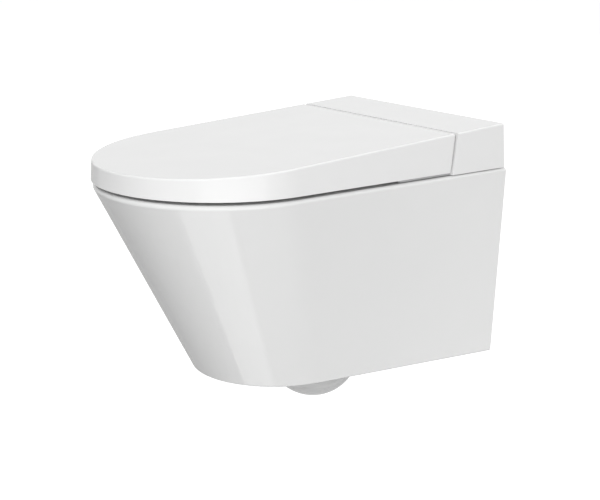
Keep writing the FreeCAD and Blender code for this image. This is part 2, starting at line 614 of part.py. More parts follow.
def base_gasket():
    """Rubber sheet between the base and the china, with the same openings."""
    half = "(%s - gasket_inset)" % BASE_HALF
    rubber = box("gasket_blank", ("2 * " + half, "base_front - base_back - 2 * gasket_inset", "cap_lift"),
                 ("-" + half, "gasket_inset - base_front", "rim_z"))
    holes = [box("gasket_slot", ("2 * slot_half", "base_front - slot_start", "cap_lift"),
                 ("-slot_half", "-base_front", "rim_z")),
             rod("gasket_inlet", "deck_hole", "cap_lift", ("valve_x", "-valve_y", "rim_z")),
             rod("gasket_gland", "deck_hole", "cap_lift", ("-gland_x", "-gland_y", "rim_z"))]
    for side, sign in SIDES.items():
        holes.append(rod("gasket_hole_" + side, "bush_radius", "cap_lift",
                         (sign + "base_bolt_spacing / 2", "-base_bolt_y", "rim_z")))
    return cut("gasket", rubber, holes)


def base_bolts():
    bolts = []
    for side, sign in SIDES.items():
        at = [sign + "base_bolt_spacing / 2", "-base_bolt_y"]
        low = "rim_z - deck_thick - bush_below"
        shank = rod("bolt_shank_" + side, "base_bolt_radius", "%s - (%s)" % (BASE_TOP, low), at + [low])
        head = rod("bolt_head_" + side, "base_bolt_head", "base_bolt_head_thick", at + [BASE_TOP])
        bolts.append(fuse("base_bolt_" + side, [shank, head]))
    return group("two_base_bolts", bolts)


def base_bushes():
    """Rubber bushes that grip the china from below when the bolts are drawn up."""
    bushes = []
    for side, sign in SIDES.items():
        at = [sign + "base_bolt_spacing / 2", "-base_bolt_y"]
        under = "rim_z - deck_thick"
        low = under + " - bush_below"
        sleeve = rod("bush_sleeve_" + side, "bush_radius", "deck_thick + cap_lift", at + [under])
        nut = rod("bush_foot_" + side, "bush_flange", "bush_below", at + [low])
        hole = rod("bush_hole_" + side, "base_bolt_radius", "deck_thick + cap_lift + bush_below", at + [low])
        bushes.append(cut("bush_" + side, fuse("bush_solid_" + side, [sleeve, nut]), [hole]))
    return group("two_bushes", bushes)


def wall_sleeves():
    """Flanged plastic sleeves in the china's two wall holes."""
    sleeves = []
    for side, sign in SIDES.items():
        x = sign + "bolt_spacing / 2"
        body = rod("sleeve_body_" + side, "sleeve_radius", "back_wall", (x, "-back_wall", "0"), TO_BACK)
        flange = rod("sleeve_flange_" + side, "sleeve_flange", "flange_thick",
                     (x, "-back_wall - flange_thick", "0"), TO_BACK)
        hole = rod("sleeve_hole_" + side, "sleeve_bore", "back_wall + flange_thick",
                   (x, "-back_wall - flange_thick", "0"), TO_BACK)
        sleeves.append(cut("sleeve_" + side, fuse("sleeve_solid_" + side, [body, flange]), [hole]))
    return group("two_sleeves", sleeves)


def seat_ring():
    """D-shaped seat with an oval opening and two arms that rise to the hinge."""
    low = (SEAT_Z, SEAT_HALF, SEAT_HALF, "rim_nose", "seat_back")
    high = (SEAT_TOP, SEAT_HALF, SEAT_HALF, "rim_nose", "seat_back")
    blank = d_loft("seat_blank", high, low)
    rear = -value("seat_back")
    at_rear = lambda mid, ends: abs(mid.y - rear) < TOUCH and upright(ends)
    cornered = rounded("seat_cornered", blank, "seat_corner", at_rear)
    hole = oval_loft("seat_hole", [("seat_hole_half", "seat_hole_length", "seat_hole_y", SEAT_Z),
                                   ("seat_hole_half", "seat_hole_length", "seat_hole_y", SEAT_TOP)])
    ring = cut("seat_flat", cornered, [hole])
    at_top = lambda mid, ends: abs(mid.z - value(SEAT_TOP)) < TOUCH
    at_foot = lambda mid, ends: abs(mid.z - value(SEAT_Z)) < TOUCH
    topped = rounded("seat_topped", ring, "seat_top_edge", at_top)
    soft = rounded("seat_soft", topped, "seat_foot_edge", at_foot)
    arms = []
    bores = []
    for side, sign in SIDES.items():
        start = "arm_inner" if sign == "" else "-arm_inner - arm_width"
        arms.append(prism("arm_" + side, [(HINGE_Y, HINGE_Z + " + arm_knuckle"),
                                          ("seat_back + 2 * seat_corner", "%s - %s" % (SEAT_TOP, TOUCH)),
                                          ("seat_back + 2 * seat_corner", SEAT_TOP + " - seat_top_edge"),
                                          ("seat_back", SEAT_TOP + " - seat_top_edge"),
                                          (HINGE_Y, HINGE_Z + " - arm_knuckle")], start, "arm_width"))
        at = (start, "-" + HINGE_Y, HINGE_Z)
        arms.append(rod("arm_knuckle_" + side, "arm_knuckle", "arm_width", at, TO_X))
        bores.append(rod("arm_bore_" + side, "pin_radius + running_gap", "arm_width", at, TO_X))
    return cut("seat", fuse("seat_solid", [soft] + arms), bores)


def on_nose(inset, angle):
    """Place set in from the rim's round nose, at an angle from straight ahead: aside, and from the wall."""
    reach = "(rim_half - %s)" % inset
    turn = "(%s * 1 deg)" % angle
    return "%s * sin%s" % (reach, turn), "(rim_nose + %s * cos%s)" % (reach, turn)


def seat_buffers():
    pads = []
    aside, ahead = on_nose("seat_pad_inset", "seat_pad_angle")
    for side, sign in SIDES.items():
        pads.append(rod("seat_pad_rear_" + side, "seat_pad_radius", "seat_lift",
                        (sign + "(rim_half - seat_pad_inset)", "-seat_pad_rear", "rim_z")))
        pads.append(rod("seat_pad_front_" + side, "seat_pad_radius", "seat_lift",
                        (sign + aside, "-" + ahead, "rim_z")))
    return group("four_seat_pads", pads)


def lid_buffers():
    """Pads square to the lid's sloping underside that end just above the seat."""
    tilt = math.degrees(math.atan(value("cap_slope")))
    aside, ahead = on_nose("lid_pad_inset", "lid_pad_angle")
    high = top_z(ahead, "lid_wall")
    length = "(%s - %s - pad_gap - cap_slope * lid_pad_radius)" % (high, SEAT_TOP)
    pads = [rod("lid_pad_" + side, "lid_pad_radius", length, (sign + aside, "-" + ahead, high),
                (V(1, 0, 0), 180 + tilt)) for side, sign in SIDES.items()]
    plane = cap_blank("lid_pad_room", "lid_wall", "lid_wall")
    return common("two_lid_pads", group("lid_pads", pads), plane)


def hinge_brackets():
    """Steel posts that stand on the base and hold the hinge pins."""
    posts = []
    for side, sign in SIDES.items():
        start = "bracket_inner" if sign == "" else "-bracket_inner - bracket_width"
        at = (start, "-" + HINGE_Y, HINGE_Z)
        foot = HINGE_Y + " + bracket_foot_ahead"
        corners = [(HINGE_Y + " - arm_knuckle / 2", HINGE_Z), (HINGE_Y + " + arm_knuckle", HINGE_Z),
                   (foot + " + bracket_foot_long", BASE_TOP), (foot, BASE_TOP)]
        post = prism("post_" + side, corners, start, "bracket_width")
        eye = rod("eye_" + side, "arm_knuckle", "bracket_width", at, TO_X)
        hole = rod("eye_hole_" + side, "pin_radius", "bracket_width", at, TO_X)
        posts.append(cut("bracket_" + side, fuse("bracket_solid_" + side, [post, eye]), [hole]))
    return group("two_brackets", posts)


def hinge_pins():
    pins = []
    for side, sign in SIDES.items():
        start = "pin_inner" if sign == "" else "-pin_inner - pin_length"
        pins.append(rod("pin_" + side, "pin_radius", "pin_length", (start, "-" + HINGE_Y, HINGE_Z), TO_X))
    return group("two_pins", pins)


def tooth_half_angle(radius):
    """Half the angle that one pinion tooth takes up at a radius, from the involute."""
    pitch = value(PITCH_RADIUS)
    pressure = math.radians(value("pressure_angle"))
    thick = math.pi * value("tooth_module") / 2 - value("tooth_play")
    here = math.acos(min(1, pitch * math.cos(pressure) / radius))
    spread = lambda a: math.tan(a) - a
    return thick / (2 * pitch) + spread(pressure) - spread(here)


def drive_pinion():
    """Spur pinion with involute teeth, one tooth pointing at the rack."""
    pitch = value(PITCH_RADIUS)
    module = value("tooth_module")
    teeth = int(value("pinion_teeth"))
    base_circle = pitch * math.cos(math.radians(value("pressure_angle")))
    flank_steps = 5
    flank = [base_circle + (pitch + module - base_circle) * k / flank_steps for k in range(flank_steps + 1)]
    root = pitch - ROOT_DEPTH * module
    points = []
    for tooth in range(teeth):
        middle = math.pi * (2 * tooth / teeth) - math.pi / 2
        sides = [(root, -tooth_half_angle(base_circle))] + [(r, -tooth_half_angle(r)) for r in flank]
        sides += [(r, -a) for r, a in reversed(sides)]
        points += [V(r * math.cos(middle + a), r * math.sin(middle + a), 0) for r, a in sides]
    face = Part.Face(Part.makePolygon(points + points[:1]))
    gear = face.extrude(V(0, 0, value("pinion_width")))
    hole = Part.makeCylinder(value("motor_shaft + running_gap"), value("pinion_width"))
    part = doc.addObject("Part::Feature", "pinion")
    part.Shape = gear.cut(hole)
    tilt = FreeCAD.Rotation(V(1, 0, 0), value("wand_tilt"))
    lie = FreeCAD.Rotation(V(1, 1, 1), 120)
    y, z = along(PINION_BACK, PINION_UP)
    at = V(-value("pinion_width") / 2, value(y), value(z))
    part.Placement = FreeCAD.Placement(at, tilt.multiply(lie))
    return part


def rack_gaps():
    """Gaps between the wand's rack teeth, in the wand's own frame, in step with the pinion."""
    module = value("tooth_module")
    step = math.pi * module
    lean = math.tan(math.radians(value("pressure_angle")))
    half = (step / 2 + value("tooth_play")) / 2
    line = value(PITCH_LINE)
    low = line - ROOT_DEPTH * module
    high = value("rack_flat") + (ROOT_DEPTH - 1) * module
    width = value("wand_radius")
    start = value(PINION_BACK)
    first = math.ceil((value(RACK_END + " - rack_length") - start) / step)
    last = math.floor((value(RACK_END) - start) / step)
    gaps = []
    for k in range(first, last + 1):
        middle = -(start + k * step)
        low_half, high_half = half - (line - low) * lean, half + (high - line) * lean
        corners = [V(-width, low, middle - low_half), V(-width, low, middle + low_half),
                   V(-width, high, middle + high_half), V(-width, high, middle - high_half)]
        gaps.append(Part.Face(Part.makePolygon(corners + corners[:1])).extrude(V(2 * width, 0, 0)))
    part = doc.addObject("Part::Feature", "rack_gaps")
    part.Shape = Part.makeCompound(gaps)
    y, z = along("0")
    part.Placement = FreeCAD.Placement(V(0, value(y), value(z)), FreeCAD.Rotation(*wand_turn()))
    return part


def spray_wand():
    """Round rod with a water bore and a rack cut into its top."""
    body = wand_rod("wand_rod", "wand_radius", WAND_LENGTH + " - tip_length", WAND_LENGTH)
    bore = wand_rod("wand_bore_hole", "wand_bore", WAND_LENGTH + " - tip_length", WAND_LENGTH)
    flat = wand_box("rack_top", ("2 * wand_radius", "wand_radius", "rack_length + tooth_module"),
                    "-wand_radius", "rack_flat", RACK_END + " + tooth_module / 2")
    return cut("wand", body, [bore, flat, rack_gaps()])


def nozzle_tip():
    """Rounded front piece of the wand with three jets on top."""
    body = wand_rod("tip_rod", "wand_radius", "tip_length - wand_radius", "tip_length")
    end = ball("tip_dome", "wand_radius", ("0",) + along("wand_radius"))
    jets = [wand_jet(k) for k in (-1, 0, 1)]
    return cut("tip", fuse("tip_solid", [body, end]), jets)


def wand_jet(number):
    turn = (V(1, 0, 0), value("wand_tilt"))
    y, z = along("tip_length / 2", "wand_radius / 2")
    return rod("jet_%d" % (number + 1), "jet_radius", "wand_radius", ("%d * jet_pitch" % number, y, z), turn)


def wand_guide():
    """Tube that the wand slides in, with a rear cap, a hose barb and a plate for the motor."""
    tube = wand_rod("guide_tube", GUIDE_RADIUS, "guide_length + guide_cap", "guide_length + guide_cap")
    barb = rod("guide_barb", "barb_radius", GUIDE_RADIUS + " + barb_length",
               ("0",) + along("guide_length - barb_radius"), TO_X)
    foot_y, foot_z = along("guide_length - guide_foot_ahead")
    foot = box("guide_foot", ("2 * guide_foot_half", "2 * guide_foot_half", "%s - %s" % (foot_z, BASE_TOP)),
               ("-guide_foot_half", foot_y + " - guide_foot_half", BASE_TOP))
    plate = wand_box("motor_plate_part", ("motor_plate", PINION_UP + " + motor_radius", "2 * motor_radius"),
                     "motor_face - motor_plate", "0", PINION_BACK + " + motor_radius")
    bore = wand_rod("guide_bore", "wand_radius + running_gap", "guide_length", "guide_length")
    window_half = "(1.5 * %s)" % PITCH_RADIUS
    window_wide = "(pinion_width + 2 * cover_gap)"
    window = wand_box("pinion_window", (window_wide, "2 * " + GUIDE_RADIUS, "2 * " + window_half),
                      "-%s / 2" % window_wide, "0", "%s + %s" % (PINION_BACK, window_half))
    shaft_hole = rod("shaft_hole", "motor_shaft + running_gap", "motor_plate",
                     ("motor_face - motor_plate",) + along(PINION_BACK, PINION_UP), TO_X)
    return cut("guide", fuse("guide_solid", [tube, barb, plate, foot]), [bore, window, shaft_hole])


def wand_motor():
    """Geared motor whose shaft carries the pinion."""
    at = along(PINION_BACK, PINION_UP)
    can = rod("motor_can", "motor_radius", "motor_length", ("motor_face",) + at, TO_X)
    shaft = rod("motor_shaft_rod", "motor_shaft", "motor_face + pinion_width / 2 + motor_plate",
                ("-pinion_width / 2 - motor_plate",) + at, TO_X)
    return fuse("motor", [can, shaft])


def wand_cover():
    """Moulded cover over the wand drive, in front of the housing."""
    top = BASE_TOP + " + cover_rise"
    gap_front = "(%s + cover_gap)" % HOUSING_FRONT
    outer = prism("cover_outer", [(seam_at(BASE_TOP, gap_front), BASE_TOP), (seam_at(top, gap_front), top),
                                  ("cover_front - cover_lean", top), ("cover_front", BASE_TOP)],
                  "-cover_half", "2 * cover_half")
    side = value("cover_half")
    roof = value(top)
    front = -value("cover_front - cover_lean") + TOUCH
    on_roof = lambda mid: abs(mid.z - roof) < TOUCH
    at_side = lambda mid: abs(abs(mid.x) - side) < TOUCH
    shown = lambda mid, ends: on_roof(mid) + at_side(mid) + (mid.y < front) == 2
    soft = rounded("cover_soft", outer, "cover_edge", shown)
    inner = prism("cover_inner", [("cap_back", BASE_Z), ("cap_back", top + " - cover_wall"),
                                  ("cover_front - cover_lean - cover_wall", top + " - cover_wall"),
                                  ("cover_front - cover_wall", BASE_Z)],
                  "-cover_half + cover_wall", "2 * (cover_half - cover_wall)")
    arch = wand_rod("cover_arch", GUIDE_RADIUS + " + cover_gap", "guide_length", "guide_length")
    return cut("cover", soft, [inner, arch])


def water_heater():
    """Flow heater: a drum on two feet, with a stub to the valve and one to the pump."""
    level = BASE_TOP + " + heater_clear + heater_radius"
    drum = rod("heater_drum", "heater_radius", "heater_length", ("heater_x", "-heater_y", level), TO_X)
    starts = ["heater_x", "heater_x + heater_length - heater_foot"]
    feet = [box("heater_foot_%d" % k, ("heater_foot", "heater_radius", "heater_clear + heater_radius"),
                (start, "-heater_y - heater_radius / 2", BASE_TOP)) for k, start in enumerate(starts)]
    stubs = [rod("stub_to_valve", "hose_radius", "heater_y - valve_y - valve_deep / 2",
                 ("valve_x", "-heater_y", level), TO_BACK),
             rod("stub_to_pump", "hose_radius", "heater_y - pump_y - pump_deep / 2",
                 ("pump_x + pump_wide / 2", "-heater_y", level), TO_BACK)]
    return fuse("heater", [drum] + feet + stubs)


def pump():
    """Small gear pump: a square head on the base with its motor drum beside it."""
    head = box("pump_head", ("pump_wide", "pump_deep", "pump_high"),
               ("pump_x", "-pump_y - pump_deep / 2", BASE_TOP))
    drum = rod("pump_drum", "pump_radius", "pump_length",
               ("pump_x + pump_wide", "-pump_y", BASE_TOP + " + pump_high / 2"), TO_X)
    return fuse("pump_solid", [head, drum])


def inlet_valve():
    """Valve block with its coil on top."""
    block = box("valve_block", ("valve_wide", "valve_deep", "valve_high"),
                ("valve_x - valve_wide / 2", "-valve_y - valve_deep / 2", BASE_TOP + " + inlet_collar_thick"))
    coil = rod("valve_coil", "coil_radius", "coil_high",
               ("valve_x", "-valve_y", BASE_TOP + " + inlet_collar_thick + valve_high"))
    return fuse("valve", [block, coil])


def inlet_fitting():
    """Brass nipple that carries the valve and hangs through the base and the china."""
    at = ["valve_x", "-valve_y"]
    low = "(rim_z - deck_thick - inlet_length)"
    thread = rod("inlet_thread", "inlet_radius", "inlet_length", at + [low])
    neck = rod("inlet_neck_rod", "inlet_neck", "%s - %s" % (BASE_TOP, low), at + [low])
    collar = rod("inlet_collar_disc", "inlet_collar", "inlet_collar_thick", at + [BASE_TOP])
    bore = rod("inlet_bore_hole", "inlet_bore", "%s + inlet_collar_thick - %s" % (BASE_TOP, low), at + [low])
    return cut("inlet", fuse("inlet_solid", [thread, neck, collar]), [bore])


def cable_gland():
    at = ["-gland_x", "-gland_y"]
    low = "(%s - gland_length)" % BASE_TOP
    stem = rod("gland_stem", "gland_radius", "gland_length", at + [low])
    collar = rod("gland_collar_disc", "gland_collar", "gland_collar_thick", at + [BASE_TOP])
    bore = rod("gland_bore_hole", "gland_bore", "gland_length + gland_collar_thick", at + [low])
    return cut("gland", fuse("gland_solid", [stem, collar]), [bore])


def power_supply():
    return box("supply", ("supply_long", "supply_deep", "supply_high"),
               ("-supply_x - supply_long", "-supply_y - supply_deep", BASE_TOP))


def control_board():
    board = box("board_sheet", ("board_long", "board_deep", "board_thick"),
                ("-board_x - board_long", "-board_y - board_deep", BASE_TOP + " + board_lift"))
    holes = [rod("board_hole_%d" % i, "board_screw", "board_thick", at + [BASE_TOP + " + board_lift"])
             for i, at in enumerate(board_corners())]
    return cut("board", board, holes)


def board_screws():
    screws = []
    for i, at in enumerate(board_corners()):
        shank = rod("board_shank_%d" % i, "board_screw", "board_lift + board_thick", at + [BASE_TOP])
        head = rod("board_head_%d" % i, "board_screw_head", "screw_head_thick",
                   at + [BASE_TOP + " + board_lift + board_thick"])
        screws.append(fuse("board_screw_%d" % i, [shank, head]))
    return group("four_board_screws", screws)


def knob_encoder():
    """Turn sensor on a foot, with a bush that reaches through the housing's side."""
    foot = box("encoder_body", ("encoder_deep", "encoder_wide", "knob_rise + encoder_wide / 2"),
               ("-" + ENCODER_X, "-knob_y - encoder_wide / 2", BASE_TOP))
    bush = rod("encoder_bush_rod", "encoder_bush", "%s - knob_gap - %s" % (KNOB_FACE, ENCODER_X),
               ("-%s + knob_gap" % KNOB_FACE, "-knob_y", KNOB_Z), TO_X)
    hole = rod("encoder_hole", "knob_shaft + running_gap", "%s - %s + encoder_deep" % (KNOB_FACE, ENCODER_X),
               ("-" + KNOB_FACE, "-knob_y", KNOB_Z), TO_X)
    return cut("encoder", fuse("encoder_solid", [foot, bush]), [hole])


def control_knob():
    """Round knob on the housing's side with a shaft into the turn sensor and a well for the button."""
    at = ("-%s - knob_thick" % KNOB_FACE, "-knob_y", KNOB_Z)
    disc = rod("knob_disc", "knob_radius", "knob_thick", at, TO_X)
    rim = value("-%s - knob_thick" % KNOB_FACE)
    shaft = rod("knob_shaft_rod", "knob_shaft", "%s - %s + encoder_deep / 2" % (KNOB_FACE, ENCODER_X),
                ("-" + KNOB_FACE, "-knob_y", KNOB_Z), TO_X)
    well_deep = "button_thick - button_proud + button_travel + button_gap"
    well = rod("button_well", "button_radius + button_gap", well_deep, at, TO_X)
    hole = rod("stem_hole", "button_stem + running_gap", "2 * knob_thick", at, TO_X)
    soft = rounded("knob_soft", disc, "button_proud", lambda mid, ends: abs(mid.x - rim) < TOUCH)
    return cut("knob", fuse("knob_solid", [soft, shaft]), [well, hole])


def knob_button():
    at = ("-%s - knob_thick - button_proud" % KNOB_FACE, "-knob_y", KNOB_Z)
    cap = rod("button_cap", "button_radius", "button_thick", at, TO_X)
    stem = rod("button_stem_rod", "button_stem", "button_thick + knob_thick / 2", at, TO_X)
    return fuse("button", [cap, stem])


def wand_hose():
    """Hose from the pump's head up to the barb on the wand guide."""
    y, z = along("guide_length - barb_radius")
    barb = V(value(GUIDE_RADIUS + " + barb_length"), value(y), value(z))
    port = V(value("pump_x"), value("-pump_y"), value(BASE_TOP + " + pump_high / 2"))
    run = V((port.x - barb.x) / 3, 0, 0)
    return hose("hose", [barb, barb + run, port - run, port])


NODES = {
    **china(),
    "wall_sleeves": wall_sleeves(),
    "base_gasket": base_gasket(),
    "base_plate": base_plate(),
    "base_bolts": base_bolts(),
    "base_bushes": base_bushes(),
    "rear_housing": rear_housing(),
    "housing_screws": housing_screws(),
    "hinge_brackets": hinge_brackets(),
    "hinge_pins": hinge_pins(),
    "seat_ring": seat_ring(),
    "seat_buffers": seat_buffers(),
    "lid": lid(),
    "lid_buffers": lid_buffers(),
    "spray_wand": spray_wand(),
    "nozzle_tip": nozzle_tip(),
    "wand_guide": wand_guide(),
    "wand_motor": wand_motor(),
    "drive_pinion": drive_pinion(),
    "wand_cover": wand_cover(),
    "water_heater": water_heater(),
    "water_pump": pump(),
    "inlet_valve": inlet_valve(),
    "inlet_fitting": inlet_fitting(),
    "power_supply": power_supply(),
    "wand_hose": wand_hose(),
    "control_board": control_board(),
    "board_screws": board_screws(),
    "cable_gland": cable_gland(),
    "knob_encoder": knob_encoder(),
    "control_knob": control_knob(),
    "knob_button": knob_button(),
}

doc.recompute()
for name, part in NODES.items():
    part.Label = name
broken = [o.Name for o in doc.Objects if "Invalid" in o.State or "Error" in o.State]
if broken:
    raise RuntimeError("failed objects: " + ", ".join(broken))
os.makedirs("parts", exist_ok=True)
for name, part in NODES.items():
    if part.Shape.isNull() or not part.Shape.isValid():
        raise RuntimeError("bad shape: " + name)
    part.Shape.exportStep("parts/%s.step" % name)
    print(name, len(part.Shape.Solids), "solids", round(part.Shape.Volume / 1000, 1), "cm3")
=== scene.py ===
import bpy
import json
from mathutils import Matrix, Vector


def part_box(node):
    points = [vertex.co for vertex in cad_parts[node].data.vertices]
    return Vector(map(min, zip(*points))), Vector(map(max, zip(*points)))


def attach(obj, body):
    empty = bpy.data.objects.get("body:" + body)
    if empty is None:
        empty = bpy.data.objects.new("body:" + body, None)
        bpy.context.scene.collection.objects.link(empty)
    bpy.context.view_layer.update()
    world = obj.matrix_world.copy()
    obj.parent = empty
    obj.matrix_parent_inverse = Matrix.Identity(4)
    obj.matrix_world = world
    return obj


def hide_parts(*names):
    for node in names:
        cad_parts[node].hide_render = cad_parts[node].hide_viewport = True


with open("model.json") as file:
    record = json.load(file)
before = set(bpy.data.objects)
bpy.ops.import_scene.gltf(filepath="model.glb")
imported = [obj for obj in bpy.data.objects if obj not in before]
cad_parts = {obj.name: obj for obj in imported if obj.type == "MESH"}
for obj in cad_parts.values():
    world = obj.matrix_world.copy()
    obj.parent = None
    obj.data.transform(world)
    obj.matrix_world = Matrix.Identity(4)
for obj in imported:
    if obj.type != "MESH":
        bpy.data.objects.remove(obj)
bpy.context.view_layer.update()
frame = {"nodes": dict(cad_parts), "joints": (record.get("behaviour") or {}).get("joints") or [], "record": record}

import json
import math

import bmesh
import bpy
import numpy as np

# Viewpoint: a long lens a little above the lid, before the toilet's left front, looking slightly down.
# Its place, turn and focal length come from the photograph's own perspective.
LENS_PLACE = (1.77407, -1.58340, 0.51124)
LENS_TURN, LENS_DIP = 53.1147, 14.1989
link = bpy.context.scene.collection.objects.link
camera = bpy.data.cameras.new("camera")
camera.sensor_width = 36.0
camera.lens = 88.49
camera.clip_end = 100.0
viewpoint = bpy.data.objects.new("camera", camera)
viewpoint.location = LENS_PLACE
viewpoint.rotation_euler = (math.radians(90.0 - LENS_DIP), 0.0, math.radians(LENS_TURN))
link(viewpoint)
bpy.context.scene.camera = viewpoint
bpy.context.scene.view_settings.view_transform = "Standard"


# Room: a white studio with one even sky over a pale matt floor, which keeps the shadow.
# The lens, a mirror or glass sees sky and floor as white, while a surface gets only a share of that light.
# The floor lies well below, because the toilet hangs on a wall.
def put(tree, kind, inputs=None, **settings):
    """Adds one node. An input given as a socket is linked, and any other value is set."""
    made = tree.nodes.new(kind)
    for name, setting in settings.items():
        setattr(made, name, setting)
    for name, value in (inputs or {}).items():
        if isinstance(value, bpy.types.NodeSocket):
            tree.links.new(value, made.inputs[name])
        else:
            made.inputs[name].default_value = value
    return made


def seen_directly(tree):
    """1 where the lens, a mirror or glass looks, 0 for light that falls on a surface."""
    path = put(tree, "ShaderNodeLightPath").outputs
    seen = path["Is Camera Ray"]
    for other in ("Is Glossy Ray", "Is Transmission Ray"):
        seen = put(tree, "ShaderNodeMath", {0: seen, 1: path[other]}, operation="MAXIMUM").outputs[0]
    return seen


def bare_material(name):
    """A new material and its empty node tree."""
    made = bpy.data.materials.new(name)
    made.use_nodes = True
    made.node_tree.nodes.clear()
    return made, made.node_tree


def sheet_of(name, corners, material):
    """A flat four-cornered sheet of the room, which is no part of the toilet."""
    mesh = bpy.data.meshes.new(name)
    mesh.from_pydata(corners, [], [(0, 1, 2, 3)])
    mesh.materials.append(material)
    made = bpy.data.objects.new(name, mesh)
    link(made)
    return made


def level_corners(left, right, front, back, height):
    """The corners of a level rectangle, counted round from its left front."""
    return [(left, front, height), (right, front, height), (right, back, height), (left, back, height)]


WHITE = (1.0, 1.0, 1.0, 1.0)
SKY_LIGHT = 0.179
world = bpy.data.worlds.new("studio")
world.use_nodes = True
air = world.node_tree
air.nodes.clear()
sky_level = put(air, "ShaderNodeMapRange", {"Value": seen_directly(air), "To Min": SKY_LIGHT, "To Max": 1.0})
sky = put(air, "ShaderNodeBackground", {"Color": WHITE, "Strength": sky_level.outputs[0]})
put(air, "ShaderNodeOutputWorld", {"Surface": sky.outputs[0]})
bpy.context.scene.world = world

FLOOR_Z, FLOOR_REACH = -0.75, 20.0
FLOOR_TONE = (0.39, 0.39, 0.39, 1.0)
FLOOR_GLOW = 0.92
pale_floor, tree = bare_material("pale_floor")
matt = put(tree, "ShaderNodeBsdfDiffuse", {"Color": FLOOR_TONE})
lit = put(tree, "ShaderNodeMath", {0: seen_directly(tree), 1: FLOOR_GLOW}, operation="MULTIPLY")
glow = put(tree, "ShaderNodeEmission", {"Strength": lit.outputs[0]})
both = put(tree, "ShaderNodeAddShader", {0: matt.outputs[0], 1: glow.outputs[0]})
put(tree, "ShaderNodeOutputMaterial", {"Surface": both.outputs[0]})
sheet_of("floor", level_corners(-FLOOR_REACH, FLOOR_REACH, -FLOOR_REACH, FLOOR_REACH, FLOOR_Z), pale_floor)

# Lamps: a large soft box at the toilet's left front, a smaller one above, and one low behind its far side.
# They light the surfaces but don't show as glare in them: a glossy surface shows the room instead.
MIDDLE_Y = -0.3


def soft_box(name, azimuth, elevation, distance, size, watts):
    """A square lamp that faces the toilet's middle from a direction, azimuth 0 being straight ahead."""
    lamp = bpy.data.lights.new(name, "AREA")
    lamp.size = size
    lamp.energy = watts
    made = bpy.data.objects.new(name, lamp)
    around, up = math.radians(azimuth), math.radians(elevation)
    away = distance * math.cos(up)
    made.location = (away * math.sin(around), MIDDLE_Y - away * math.cos(around), distance * math.sin(up))
    made.rotation_euler = (math.radians(90.0 - elevation), 0.0, around)
    made.visible_glossy = False
    link(made)


soft_box("key_lamp", azimuth=51.5, elevation=24.4, distance=12.0, size=9.0, watts=1366.0)
soft_box("top_lamp", azimuth=180.0, elevation=80.0, distance=6.0, size=4.0, watts=127.0)
soft_box("far_lamp", azimuth=-140.0, elevation=3.0, distance=10.0, size=4.0, watts=400.0)


# Reflectors: bright and grey boards that only a glossy surface sees, as a product photographer sets them.
# Five lie in layers just above the floor, and one stands in front for the lid's round wall.
# The light of each board fades along one level direction.
def reflector(name, corners, level, along, fade):
    """A flat board. Its light runs from one level to another between two distances along a direction."""
    paint, tree = bare_material(name)
    spot = put(tree, "ShaderNodeTexCoord").outputs["Object"]
    reach = put(tree, "ShaderNodeVectorMath", {0: spot, 1: along}, operation="DOT_PRODUCT").outputs["Value"]
    tone = put(tree, "ShaderNodeMapRange", {"Value": reach, "From Min": fade[0], "From Max": fade[1],
                                            "To Min": level[0], "To Max": level[1]},
               interpolation_type="SMOOTHSTEP")
    shine = put(tree, "ShaderNodeEmission", {"Strength": tone.outputs[0]})
    put(tree, "ShaderNodeOutputMaterial", {"Surface": shine.outputs[0]})
    board = sheet_of(name, corners, paint)
    board.visible_camera = False
    board.visible_diffuse = False
    board.visible_transmission = False
    board.visible_shadow = False


TO_LEFT, TO_WALL = (1.0, 0.0, 0.0), (0.0, 1.0, 0.0)
UPPER = FLOOR_Z + 0.010
BETWEEN = FLOOR_Z + 0.008
LOWER = FLOOR_Z + 0.006
reflector("low_board", [(-0.016, -0.62, UPPER), (0.131, -1.12, UPPER), (1.20, -0.75, UPPER),
                        (0.50, -0.35, UPPER)],
          level=(2.15, 1.05), along=(0.5, 0.866, 0.0), fade=(-0.347, -0.275))
reflector("side_board", level_corners(0.15, 7.0, -1.4, 6.0, LOWER), level=(0.86, 0.90), along=TO_LEFT,
          fade=(0.15, 7.0))
reflector("near_board", level_corners(0.30, 2.6, -0.62, 2.6, BETWEEN), level=(1.05, 1.50), along=TO_WALL,
          fade=(-0.5, 0.1))
reflector("grey_board", level_corners(-2.9, 0.02, -1.5, 0.6, LOWER), level=(0.62, 0.88), along=TO_LEFT,
          fade=(-1.3, 0.0))
reflector("far_board", level_corners(-9.0, -2.9, -1.5, 9.0, LOWER), level=(0.75, 0.78), along=TO_LEFT,
          fade=(-9.0, -2.9))
FRONT_FOOT, FRONT_HEAD = -0.72, 0.50
reflector("front_board", [(1.82, -3.51, FRONT_FOOT), (3.46, -0.14, FRONT_FOOT), (3.46, -0.14, FRONT_HEAD),
                          (1.82, -3.51, FRONT_HEAD)],
          level=(1.0, 2.05), along=(0.438, 0.899, 0.0), fade=(-2.36, -1.35))


# China pan: vitreous china, slip-cast and fired in one piece, glazed white with a faint ripple in the glaze.
# It hangs on two wall bolts. Rim with skirt, bowl, trap and back wall are four shapes of that one piece.
def group_of(name, inputs, outputs):
    """A shader node group with named number inputs and outputs, and its two end nodes."""
    tree = bpy.data.node_groups.new(name, "ShaderNodeTree")
    for label, start in inputs.items():
        tree.interface.new_socket(label, in_out="INPUT", socket_type="NodeSocketFloat").default_value = start
    for label in outputs:
        tree.interface.new_socket(label, in_out="OUTPUT", socket_type="NodeSocketFloat")
    return tree, tree.nodes.new("NodeGroupInput").outputs, tree.nodes.new("NodeGroupOutput").inputs


